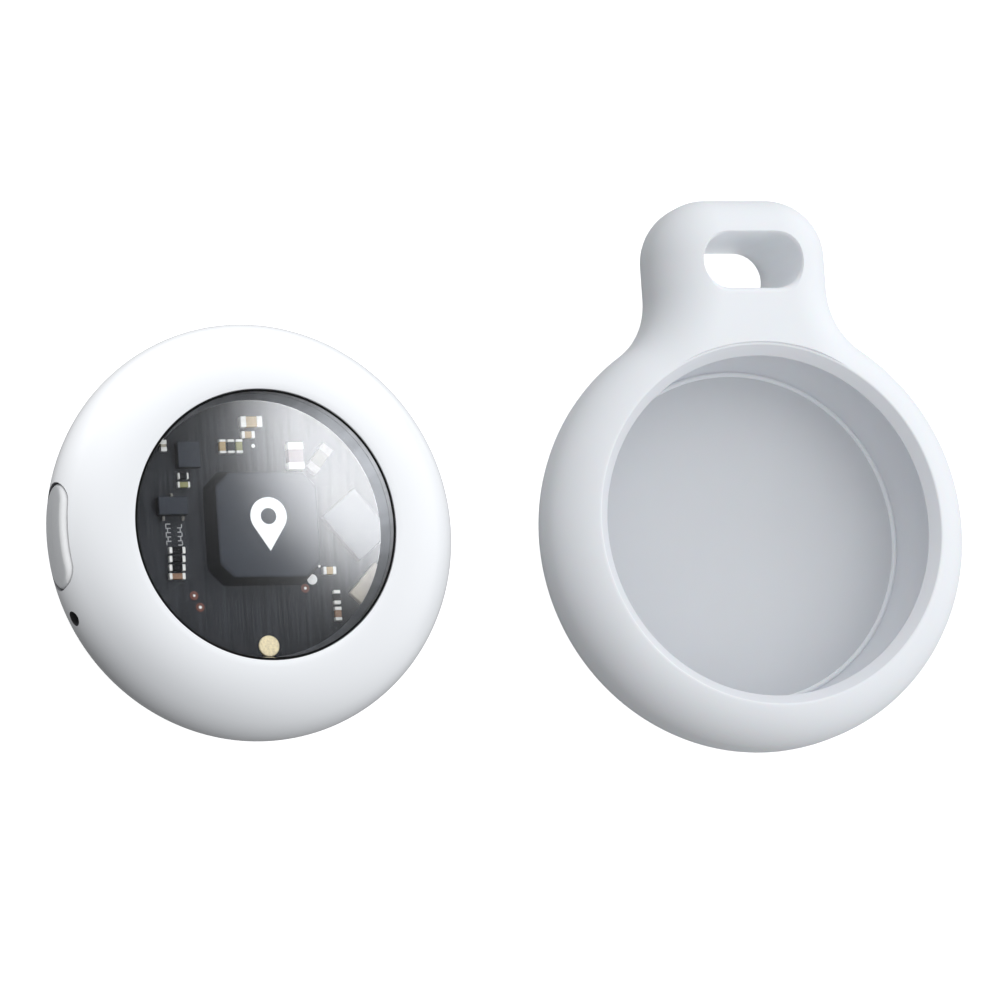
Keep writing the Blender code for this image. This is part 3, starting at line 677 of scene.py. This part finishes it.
def edge_levels():
    """(inset, z) pairs up the full-round edge."""
    steps = 14
    radii = (HOLDER_EDGE_R, HOLDER_EDGE_R)
    lower = arc((0.0, HOLDER_EDGE_R), radii, -90, 0, steps)
    upper = arc((0.0, HOLDER_THICK - HOLDER_EDGE_R), radii, 0, 90, steps)
    return [(HOLDER_EDGE_R - out, z) for out, z in lower + upper]


def slot_cutter():
    """The slot through the loop, widening at both ends into a rounded lip."""
    past = 0.4 * MM
    levels = [(SLOT_LIP_R + past, -past)] + quarter_round(SLOT_LIP_R)
    levels += [(grow, HOLDER_THICK - z) for grow, z in reversed(levels)]
    rings = []
    for grow, z in levels:
        outline = stadium(SLOT_LENGTH + 2 * grow, SLOT_HEIGHT + 2 * grow)
        rings.append([(x, y + SLOT_Y, z) for x, y in outline])
    return loft("slot_cutter", rings, HOLDER)


def mouth_rounding():
    """The rounded outer edge of the mouth.

    It is an arc that touches the 45 degree bevel and the holder's round edge.
    """
    radius = MOUTH_EDGE_R
    edge_r = HOLDER_R - HOLDER_EDGE_R
    edge_z = HOLDER_THICK - HOLDER_EDGE_R
    # The centre lies at (z + shift, z), HOLDER_EDGE_R - radius away from the round edge's centre.
    shift = MOUTH_INNER_R - MOUTH_Z + math.sqrt(2) * radius
    half = (edge_r - shift + edge_z) / 2
    product = ((edge_r - shift) ** 2 + edge_z**2 - (HOLDER_EDGE_R - radius) ** 2) / 2
    centre_z = half + math.sqrt(half**2 - product)
    centre = (centre_z + shift, centre_z)
    start = math.degrees(math.atan2(centre[1] - edge_z, centre[0] - edge_r))
    return arc(centre, (radius, radius), start, 135, 8)


def lip_rounding():
    """The rounded tip of the lip, between the bevel above and the flat start of the undercut below."""
    radius = LIP_TIP_R
    centre = (MOUTH_INNER_R + radius * (1 + math.sqrt(2)), MOUTH_Z + radius)
    return arc(centre, (radius, radius), 135, 270, 8)


def pocket_cutter():
    """The bevelled mouth, the undercut, and a fine bead where the flat floor ends."""
    over = 1.0 * MM
    rounding = mouth_rounding()
    top = HOLDER_THICK + over
    mouth = [(0.0, top), (rounding[0][0] + over / 2, top)] + rounding
    lip = lip_rounding()
    under_radii = (POCKET_R - lip[-1][0], MOUTH_Z - POCKET_WIDEST_Z)
    under = arc((lip[-1][0], POCKET_WIDEST_Z), under_radii, 90, 0, 16)
    lower_radii = (POCKET_R - POCKET_FLOOR_R, POCKET_WIDEST_Z - POCKET_FLOOR_Z)
    lower = arc((POCKET_FLOOR_R, POCKET_WIDEST_Z), lower_radii, 0, -86, 20)[1:]
    bead = arc((POCKET_FLOOR_R - BEAD_R, POCKET_FLOOR_Z), (BEAD_R, BEAD_R), 0, 180, 10)
    profile = mouth + lip + under[1:] + lower + bead + [(0.0, POCKET_FLOOR_Z)]
    return turned("pocket_cutter", profile, HOLDER)


def make_holder():
    rings = [[(x, y, z) for x, y in holder_outline(inset)] for inset, z in edge_levels()]
    holder = loft("silicone_holder", rings, HOLDER)
    carve(holder, [pocket_cutter(), slot_cutter()])
    mouth_r = mouth_rounding()[-1][0]
    for face in holder.data.polygons:
        face.material_index = holder_part(face.center, face.normal, mouth_r)
    # the pocket's faces get darker copies of the silicone: painted shade
    finishes = (SILICONE, SILICONE_BEVEL_PAINTED_SHADE, SILICONE_FLOOR_PAINTED_SHADE, SILICONE_WALL_PAINTED_SHADE)
    dress(holder, finishes, "holder", ["holder_sleeve"], 28.0)


def holder_part(place, normal, mouth_r):
    """A face's material: 0 outside and on the bead, 1 on the bevel, 2 on the floor, 3 on the wall.
    Materials 1 to 3 are darker copies of the white silicone, painted shade inside the pocket, which
    leaves the bead a light line.
    """
    reach = math.hypot(place.x, place.y)
    above_floor = place.z - POCKET_FLOOR_Z
    near = 0.01 * MM
    round_the_mouth = reach > mouth_r and place.z > MOUTH_Z
    if round_the_mouth or reach > POCKET_R:
        return 0
    if reach < POCKET_FLOOR_R and -near < above_floor < 0.5 * MM:
        on_bead = reach > POCKET_FLOOR_R - 2 * BEAD_R and above_floor > near
        return 0 if on_bead else 2
    inward = normal.x * place.x + normal.y * place.y < 0
    if above_floor > 0 and inward:
        return 1 if place.z > MOUTH_Z and normal.z > 0.1 else 3
    return 0


# ---------------------------------------------------------------- the tag's shells


def rim_above(inset=0.0, start=90, end=0, steps=28):
    radii = (TAG_R - TOP_RIM_R - inset, TAG_THICK - RIM_Z - inset)
    return arc((TOP_RIM_R, RIM_Z), radii, start, end, steps)


def rim_below(inset=0.0, start=0, end=-90, steps=24):
    radii = (TAG_R - FOOT_R - inset, RIM_Z - inset)
    return arc((FOOT_R, RIM_Z), radii, start, end, steps)


def rim_angle_at(z, inset=0.0):
    return -math.degrees(math.asin((RIM_Z - z) / (RIM_Z - inset)))


def button_hole():
    """A round-ended bar along X through the tag's -X side."""
    outline = stadium(BUTTON_LENGTH, BUTTON_HEIGHT)
    ends = (-TAG_R - 1 * MM, BUTTON_HOLE_END)
    rings = [[(x, BUTTON_Y + y, BUTTON_Z + up) for y, up in outline] for x in ends]
    return loft("button_hole", rings)


def make_front_shell():
    seam = SEAM_Z + SEAM_GAP / 2
    outer = rim_above() + rim_below(end=rim_angle_at(seam + EDGE_SOFT), steps=10)[1:]
    inner = rim_below(WALL, rim_angle_at(seam, WALL), 0, 8) + rim_above(WALL, 0, 82, 16)[1:]
    lip = [(outer[-1][0] - EDGE_SOFT, seam)]
    soft = 0.09 * MM
    step = 0.03 * MM
    bore = [
        (WINDOW_R, TAG_THICK - WALL),
        (WINDOW_R, TAG_THICK - soft),
        (WINDOW_R + step, TAG_THICK - step),
        (WINDOW_R + soft, TAG_THICK),
    ]
    shell = turned("front_shell", outer + lip + inner + bore)
    carve(shell, [button_hole(), sound_hole()])
    for face in shell.data.polygons:
        if in_button_hole(face.center, face.normal):
            # painted shade: the button hole's walls are dark grey
            face.material_index = 1
        elif in_sound_hole(face.center, face.normal):
            # painted shade: the sound hole's wall is near black
            face.material_index = 2
    dress(shell, (GLOSS_WHITE, BUTTON_HOLE_PAINTED_SHADE, SOUND_HOLE_PAINTED_SHADE), "tag", ["front_housing"])


def in_button_hole(place, normal):
    beside = abs(place.y - BUTTON_Y) < BUTTON_LENGTH / 2 + GAP
    level = abs(place.z - BUTTON_Z) < BUTTON_HEIGHT / 2 + GAP
    return beside and level and place.x < BUTTON_HOLE_END and abs(normal.x) < 0.05


def in_sound_hole(place, normal):
    along = polar(1.0, SOUND_ANGLE)
    off_axis = place - Vector((0.0, 0.0, SOUND_Z))
    off_axis -= along * off_axis.dot(along)
    outward = place.dot(along) > 0
    return outward and off_axis.length < SOUND_HOLE_R + GAP and abs(normal.dot(along)) < 0.2


def sound_hole():
    """A round bar through the rim, pointing away from the tag's axis."""

    def fill(cage):
        bmesh.ops.create_cone(
            cage, cap_ends=True, segments=32, radius1=SOUND_HOLE_R, radius2=SOUND_HOLE_R, depth=3 * MM
        )

    hole = link_mesh("sound_hole", fill, TAG + polar(TAG_R - 0.7 * MM, SOUND_ANGLE, SOUND_Z))
    hole.rotation_euler = (0.0, math.pi / 2, SOUND_ANGLE)
    return hole


def make_rear_shell():
    seam = SEAM_Z - SEAM_GAP / 2
    bore_r = 10.95 * MM
    ledge_r = 11.7 * MM
    outer = rim_below(start=rim_angle_at(seam - EDGE_SOFT), steps=20)
    inner = rim_below(WALL, -75, rim_angle_at(seam, WALL), 12)
    ledge = [
        (bore_r + EDGE_SOFT, 0.0),
        (bore_r, EDGE_SOFT),
        (bore_r, COVER_TOP),
        (ledge_r, COVER_TOP),
        (ledge_r, inner[0][1]),
    ]
    shell = turned("rear_shell", outer + ledge + inner + [(outer[0][0] - EDGE_SOFT, seam)])
    carve(shell, [lug_notch(index) for index in range(LUGS)])
    dress(shell, GLOSS_WHITE, "tag", ["rear_housing"])


def lug_notch(index):
    """The gap in the ledge that lets one lug of the turned cover out."""
    centre = 120.0 + 360.0 / LUGS * index
    half = 11.0
    outer_r = 11.65 * MM
    inner_r = 10.6 * MM
    outer = arc((0.0, 0.0), (outer_r, outer_r), centre - half, centre + half, 12)
    inner = arc((0.0, 0.0), (inner_r, inner_r), centre + half, centre - half, 12)
    rings = [[(x, y, z) for x, y in outer + inner] for z in (-1 * MM, COVER_TOP + 0.3 * MM)]
    return loft(f"lug_notch_{index}", rings)


def button_ring(length, height, depth):
    """A ring of the cap's face, a little flatter than the tag's rim and set in by a depth."""
    ring = []
    for y, up in stadium(length, height, straight=10):
        z = BUTTON_Z + up
        share = (z - RIM_Z) / (TAG_THICK - RIM_Z if z > RIM_Z else RIM_Z)
        centre_r = TOP_RIM_R if z > RIM_Z else FOOT_R
        rim_r = centre_r + (TAG_R - centre_r) * math.sqrt(1 - share**2)
        radius = rim_r + (TAG_R - 2 * GAP - rim_r) * BUTTON_BULGE
        across = BUTTON_Y + y
        ring.append((-math.sqrt(radius**2 - across**2) + depth, across, z))
    return ring


def make_button():
    """The cap, from its flat back over a rounded edge to the middle of its face."""
    length = BUTTON_LENGTH - 2 * BUTTON_CLEAR
    height = BUTTON_HEIGHT - 2 * BUTTON_CLEAR
    edge = 0.3 * MM
    steps = 8
    outline = stadium(length, height, straight=10)
    rings = [[(BUTTON_BACK, BUTTON_Y + y, BUTTON_Z + up) for y, up in outline]]
    sunk = [(0.0, edge * 1.6)] + [(inset, depth) for depth, inset in quarter_round(edge)]
    reach = height / 2 - edge - 0.02 * MM
    sunk += [(edge + reach * i / steps, 0.0) for i in range(1, steps + 1)]
    for inset, depth in sunk:
        rings.append(button_ring(length - 2 * inset, height - 2 * inset, depth))
    cap = loft("button_cap", rings)
    # painted highlight: faces that face up get the lighter white, a bright line along the cap's upper
    # edge
    for face in cap.data.polygons:
        if face.normal.z > 0.5:
            face.material_index = 1
    dress(cap, (BUTTON_WHITE, BUTTON_PAINTED_HIGHLIGHT), "side_button", ["side_button"], 60.0)


def make_window():
    """A clear disc whose edge wall is painted grey."""
    low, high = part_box("window_lens")
    rim = arc((LENS_R - EDGE_SOFT, high.z - EDGE_SOFT), (EDGE_SOFT, EDGE_SOFT), 90, 0, 4)
    profile = [(0.0, high.z)] + rim + [(LENS_R, low.z), (0.0, low.z)]
    window = turned("window", profile)
    for face in window.data.polygons:
        if abs(face.normal.z) < 0.3:
            face.material_index = 1
    dress(window, (WINDOW, BEZEL_GREY), "tag", ["window_lens"])
    BEZELS.objects.link(window)


def make_seal():
    """The thin black seal between the window and the shell."""
    inner = LENS_R + 0.02 * MM
    profile = [
        (inner, RING_HIGH.z),
        (RING_HIGH.x - TAG.x, RING_HIGH.z),
        (RING_HIGH.x - TAG.x, RING_LOW.z),
        (inner, RING_LOW.z),
    ]
    dress(turned("window_seal", profile), SEAL_BLACK, "tag", ["lens_gasket"])


def make_haze():
    """The film under the window.

    The camera looks at a slant, so the film is shifted to lie over the foot of the grey band in its
    view. It stays within HAZE_REACH of the tag's axis, clear of the band itself.
    """
    lift = HAZE_Z + HAZE_THICK / 2 - BAND_FOOT_Z
    shift = Vector((CAMERA_BACK.x, CAMERA_BACK.y, 0.0)) * (lift / CAMERA_BACK.z)
    outline = []
    for i in range(ROUND_STEPS):
        point = shift + polar(HAZE_R, math.tau * i / ROUND_STEPS)
        outline.append(point * min(1.0, HAZE_REACH / point.length))
    rings = [[(point.x, point.y, z) for point in outline] for z in (HAZE_Z, HAZE_Z + HAZE_THICK)]
    dress(loft("window_haze_film", rings), WINDOW_HAZE, "tag")


def make_bezel():
    """The grey ring: its sloping band shows under the window, and its top face is black."""
    low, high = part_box("inner_bezel")
    outer = (high.x - low.x) / 2
    neck_r = WINDOW_R - GAP
    wall = 0.5 * MM
    flange = 6.5 * MM
    flange_low = flange - 0.4 * MM
    profile = [
        (LENS_R, high.z),
        (neck_r, high.z),
        (neck_r, flange),
        (outer, flange),
        (outer, low.z),
        (outer - wall, low.z),
        (outer - wall, flange_low),
        (neck_r, flange_low),
        (BAND_FOOT_R + 0.15 * MM, BAND_FOOT_Z),
        (BAND_FOOT_R, BAND_FOOT_Z),
    ]
    ring = turned("bezel_ring", profile)
    for face in ring.data.polygons:
        if face.normal.z > 0.9 and face.center.z > flange:
            face.material_index = 1
    dress(ring, (BEZEL_GREY, SEAL_BLACK), "tag", ["inner_bezel"])


# ---------------------------------------------------------------- the board


def make_board():
    radius = (BOARD_HIGH.x - BOARD_LOW.x) / 2
    profile = [(0.0, BOARD_TOP), (radius, BOARD_TOP), (radius, BOARD_LOW.z), (0.0, BOARD_LOW.z)]
    dress(turned("board", profile, steps=96), BOARD, "tag", ["circuit_board"])


def make_traces():
    """Fine lines under the mask: many upright ones below the shield, and short ones at the lower left."""
    line = 0.055 * MM
    rise = 0.012 * MM
    z = BOARD_TOP + rise / 2
    board_edge = 9.3 * MM
    choose = random.Random(7)

    def fill(cage):
        for index in range(34):
            x = (-4.2 + 0.27 * index + choose.uniform(-0.06, 0.06)) * MM
            top = choose.uniform(-4.6, -6.2) * MM
            length = choose.uniform(0.6, 3.2) * MM
            bottom = max(top - length, -math.sqrt(board_edge**2 - x**2))
            size = (line * choose.uniform(0.6, 1.4), top - bottom, rise)
            add_box(cage, size, Vector((x, (top + bottom) / 2, z)))
        for index in range(10):
            angle = math.radians(45 if index % 2 else 0)
            place = Vector(((-8.2 + 0.35 * index) * MM, (-5.6 + 0.28 * index) * MM, z))
            add_box(cage, (1.1 * MM, line, rise), place, angle)

    dress(link_mesh("board_traces", fill, TAG), TRACE, "tag")


def make_silkscreen():
    """Light printed strokes above the stack of resistors, in two columns."""
    rise = 0.02 * MM
    line = 0.07 * MM

    def fill(cage):
        z = BOARD_TOP + rise / 2
        for row in range(5):
            y = (0.45 - 0.33 * row) * MM
            lean = 0.12 * MM * (row % 2)
            add_box(cage, (line, 0.26 * MM, rise), Vector((-6.95 * MM + lean, y, z)))
            add_box(cage, (0.4 * MM, line, rise), Vector((-6.78 * MM, y + 0.15 * MM, z)))
            add_box(cage, (line, 0.26 * MM, rise), Vector((-5.7 * MM - lean, y, z)))
            add_box(cage, (0.34 * MM, line, rise), Vector((-5.88 * MM, y - 0.15 * MM, z)))

    dress(link_mesh("board_silkscreen", fill, TAG), SILKSCREEN, "tag")


def flat_disc(name, place, radius, thick, material):
    """A thin disc on the board, with a slightly rounded upper edge."""
    top = BOARD_TOP + thick
    shoulder = top - thick * 0.4
    profile = [
        (0.0, top),
        (radius * 0.97, top),
        (radius, shoulder),
        (radius, BOARD_TOP),
        (0.0, BOARD_TOP),
    ]
    dress(turned(name, profile, TAG + place, 40), material, "tag")


def make_pads():
    """Tinned test points, some inside a copper-brown ring."""
    pads = (
        ("pad_low_left", (-5.05, -4.9), 0.10, True),
        ("pad_lower_left", (-4.62, -5.8), 0.12, True),
        ("pad_right", (3.86, -4.45), 0.11, True),
        ("pad_round", (4.46, -3.78), 0.40, False),
        ("pad_small", (5.1, -2.78), 0.10, False),
        ("pad_top", (0.42, 6.52), 0.15, False),
    )
    for name, (x, y), radius, ringed in pads:
        place = Vector((x * MM, y * MM, 0.0))
        flat_disc(name, place, radius * MM, 0.06 * MM, PAD_WHITE)
        if ringed:
            flat_disc(name + "_ring", place, 0.34 * MM, 0.02 * MM, COPPER_RING)


def two_terminal(node, material, angle=0.0, size=None, end_share=0.26, ends=TIN):
    """A chip part: a body between two plated ends that stand a little proud of it.

    Its size is that of the node's box, unless it lies at a slant and size is given.
    """
    low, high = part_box(node)
    length, width, height = size or tuple(high - low)
    if angle and not size:
        length, width = width, length
    end = length * end_share
    lift = 0.02 * MM

    def fill(cage):
        add_box(cage, (length - 2 * lift, width - 2 * lift, height - 2 * lift), Vector())
        for side in (-1, 1):
            centre = Vector((side * (length - end) / 2, 0.0, 0.0))
            add_box(cage, (end, width, height), centre, material=1)

    item = link_mesh(node + "_part", fill, (low + high) / 2)
    item.rotation_euler.z = angle
    soften(item, 0.05 * MM, 2)
    dress(item, (material, ends), "tag", [node], 40.0)


def make_small_parts():
    upright = math.pi / 2
    slant = math.radians(51)
    two_terminal("capacitor_bulk", CAPACITOR_TAN)
    two_terminal("capacitor_below_bulk", CAPACITOR_TAN)
    two_terminal("capacitor_trio_left", CAPACITOR_TAN, upright, end_share=0.19)
    two_terminal("resistor_trio", RESISTOR, upright, end_share=0.2)
    two_terminal("capacitor_trio_right", CAPACITOR_OLIVE, upright, end_share=0.2)
    two_terminal("resistor_by_chip", RESISTOR, end_share=0.18)
    two_terminal("capacitor_by_chip", CAPACITOR_OLIVE, end_share=0.18)
    for index in range(3):
        two_terminal(f"resistor_stack_{index}", RESISTOR, end_share=0.2)
    two_terminal("capacitor_stack", CAPACITOR_BROWN, end_share=0.2)
    two_terminal("capacitor_by_shield", CAPACITOR_TAN)
    two_terminal("resistor_column", RESISTOR, upright)
    two_terminal("capacitor_column", CAPACITOR_BROWN, upright)
    two_terminal("capacitor_tall", CAPACITOR_ROSE, upright)
    leaning = (2.4 * MM, 1.0 * MM, 0.7 * MM)
    two_terminal("capacitor_slanted", CAPACITOR_CREAM, slant, leaning, ends=DULL_TIN)
    two_terminal("capacitor_edge", CERAMIC, upright, end_share=0.4)


def soft_block(name, size, angle, finish, node, edge):
    """A chip body with rounded edges; the second material of its finish, if any, is a darker one for its
    walls, painted shade.
    """

    def fill(cage):
        for face in add_box(cage, size, Vector()):
            if len(finish) > 1 and abs(face.calc_center_median().z) < size[2] * 0.4:
                face.material_index = 1

    item = link_mesh(name, fill, middle(node))
    item.rotation_euler.z = angle
    soften(item, edge)
    dress(item, finish, "tag", [node], 40.0)


def make_chips():
    low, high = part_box("power_chip")
    soft_block("power_package", high - low, 0.0, (CHIP, CHIP_WALL_PAINTED_SHADE), "power_chip", 0.06 * MM)
    sensor = (4.4 * MM, 3.4 * MM, 0.75 * MM)
    tilt = math.radians(-51)
    finish = (SENSOR_GREY, CHIP_WALL_PAINTED_SHADE)
    soft_block("sensor_package", sensor, tilt, finish, "motion_sensor", 0.1 * MM)
    bar = (3.2 * MM, 1.24 * MM, 0.55 * MM)
    lean = math.radians(46.8)
    soft_block("antenna_bar", bar, lean, (CERAMIC,), "chip_antenna", 0.08 * MM)


def make_regulator():
    """The regulator's package, and its three leads: one at the back and two at the front."""
    low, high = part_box("regulator")
    width = high.x - low.x
    depth = 1.4 * MM
    body_low = low.z + 0.1 * MM
    centre_x = (low.x + high.x) / 2
    centre_y = TAG.y + 1.87 * MM
    centre_z = (body_low + high.z) / 2

    def fill(cage):
        centre = Vector((centre_x, centre_y, centre_z))
        # the faces round the middle, the package's walls, get the darker material: painted shade
        for face in add_box(cage, (width, depth, high.z - body_low), centre):
            if abs(face.calc_center_median().z - centre_z) < 0.2 * MM:
                face.material_index = 1

    package = link_mesh("regulator_package", fill)
    soften(package, 0.09 * MM)
    dress(package, (CHIP, CHIP_WALL_PAINTED_SHADE), "tag", ["regulator"], 40.0)

    lead = 0.2 * MM
    out = depth / 2 + 0.14 * MM
    lead_z = low.z + 0.12 * MM

    def fill_leads(cage):
        for x, side in ((0.15 * MM, 1), (-0.6 * MM, -1), (0.95 * MM, -1)):
            place = Vector((centre_x + x, centre_y + side * out, lead_z))
            add_box(cage, (lead, 0.28 * MM, lead), place)
            foot = place + Vector((0.0, side * 0.12 * MM, -0.06 * MM))
            add_box(cage, (lead, lead, 0.09 * MM), foot)

    leads = link_mesh("regulator_leads", fill_leads)
    soften(leads, 0.03 * MM, 2)
    dress(leads, DULL_TIN, "tag", (), 40.0)


def make_contact():
    low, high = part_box("gold_contact")
    centre = (low + high) / 2
    radius = (high.x - low.x) / 2
    profile = [
        (0.0, high.z),
        (radius * 0.93, high.z),
        (radius, high.z - 0.04 * MM),
        (radius, low.z),
        (0.0, low.z),
    ]
    disc = turned("gold_disc", profile, Vector((centre.x, centre.y, 0.0)), 64)
    dress(disc, GOLD, "tag", ["gold_contact"])


def shield_ring(half, corner, z):
    """A square outline with softly cut corners."""
    points = []
    soft = corner * 0.25
    first = Vector((half, half - corner))
    last = Vector((half - corner, half))
    along = (last - first).normalized()
    before = [first - Vector((0.0, soft)), first + along * soft * 0.3]
    after = [last - along * soft * 0.3, last - Vector((soft, 0.0))]
    for quarter in range(4):
        turn = Matrix.Rotation(quarter * math.pi / 2, 2)
        points += [turn @ point for point in before + after]
    return [(point.x, point.y, z) for point in points]


def make_shield():
    """The shield's can, a little wider at its foot and rounded at the top, with the icon on it."""
    low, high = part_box("processor_shield")
    centre = (low + high) / 2
    half = 4.05 * MM
    foot = (high.x - low.x) / 2
    corner = 1.1 * MM
    soft = 0.2 * MM
    rings = [shield_ring(foot, corner * 1.1, low.z)]
    for down, inset in quarter_round(soft):
        rings.append(shield_ring(half - inset, corner, high.z - down))
    rings.append(shield_ring(half - soft - 0.03 * MM, corner, high.z))
    can = loft("shield_can", rings, Vector((centre.x, centre.y, 0.0)))
    # the can's walls get the darker material: painted shade
    for face in can.data.polygons:
        if abs(face.normal.z) < 0.5:
            face.material_index = 1
    dress(can, (CHIP, CHIP_WALL_PAINTED_SHADE), "tag", ["processor_shield"], 50.0)
    make_icon(Vector((centre.x + 0.05 * MM, centre.y, high.z)))


def make_icon(place):
    """A plain map pin: a round head with a hole, drawn to a point."""
    head_r = 1.45 * MM
    hole_r = 0.62 * MM
    head_y = 0.62 * MM
    tip_y = -2.05 * MM
    rise = 0.02 * MM
    lean = math.degrees(math.asin(head_r / (head_y - tip_y)))
    outer = arc((0.0, head_y), (head_r, head_r), -lean, 180 + lean, 47) + [(0.0, tip_y)]
    count = len(outer)
    inner = arc((0.0, head_y), (hole_r, hole_r), -90, 270, count)[1:]

    def fill(cage):
        rings = []
        for ring, z in ((inner, 0.0), (outer, 0.0), (outer, rise), (inner, rise)):
            rings.append([cage.verts.new((x, y, z)) for x, y in ring])
        for ring, after in zip(rings, rings[1:] + rings[:1]):
            for i in range(count):
                j = (i + 1) % count
                cage.faces.new((ring[i], ring[j], after[j], after[i]))

    dress(link_mesh("pin_icon", fill, place), PRINT_WHITE, "tag")


# ---------------------------------------------------------------- the back and the hidden pieces


def coin_groove(bottom):
    """The slot for a coin across the cover, with a bevelled edge."""
    length = 11.0 * MM
    width = 1.6 * MM
    bevel = 0.12 * MM
    depth = 0.3 * MM
    levels = (
        (0.25 * MM, -1 * MM),
        (bevel, bottom),
        (0.0, bottom + bevel),
        (0.0, bottom + depth),
    )
    rings = []
    for grow, z in levels:
        outline = stadium(length + 2 * grow, width + 2 * grow)
        rings.append([(x, y, z) for x, y in outline])
    return loft("coin_groove", rings)


def make_battery_door():
    """The twist-off cover, with a coin slot below."""
    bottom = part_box("rear_cover")[0].z
    soft = 0.12 * MM
    edge = arc((COVER_R - soft, bottom + soft), (soft, soft), 0, -90, 6)
    profile = [(0.0, COVER_TOP), (COVER_R, COVER_TOP)] + edge + [(0.0, bottom)]
    door = turned("battery_door", profile)
    carve(door, [coin_groove(bottom)])
    dress(door, GLOSS_WHITE, "rear_cover", ["rear_cover"])


def make_door_lugs():
    """The cover's lugs, each a post with a hook over the rear shell's ledge."""

    def fill(cage):
        for index in range(LUGS):
            angle = math.radians(90 + 360 / LUGS * index)
            add_box(cage, (0.32 * MM, 2.8 * MM, 0.62 * MM), polar(10.3 * MM, angle, 0.97 * MM), angle)
            add_box(cage, (1.05 * MM, 2.5 * MM, 0.34 * MM), polar(10.9 * MM, angle, 1.08 * MM), angle)

    lugs = link_mesh("door_lugs", fill, TAG)
    soften(lugs, 0.04 * MM, 2)
    dress(lugs, GLOSS_WHITE, "rear_cover", (), 40.0)


def dress_hidden():
    """The pieces inside the tag keep their CAD shape and get real finishes."""
    finishes = {
        "coin_cell": STEEL,
        "positive_contact": SPRING,
        "negative_contact": SPRING,
        "tact_switch": STEEL,
        "battery_carrier": GREY_PLASTIC,
        "sound_mesh": MESH_GREY,
        "buzzer": CHIP,
        "cover_seal": GREY_SILICONE,
        "button_pad": GREY_SILICONE,
        "switch_plunger": RESISTOR,
    }
    for node, material in finishes.items():
        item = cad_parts[node]
        item.data.materials.clear()
        item.data.materials.append(material)


make_camera()
make_world()
make_lights()
make_floor()
make_holder()
make_front_shell()
make_rear_shell()
make_button()
make_window()
make_seal()
make_haze()
make_bezel()
make_board()
make_traces()
make_silkscreen()
make_pads()
make_small_parts()
make_chips()
make_regulator()
make_contact()
make_shield()
make_battery_door()
make_door_lugs()
dress_hidden()
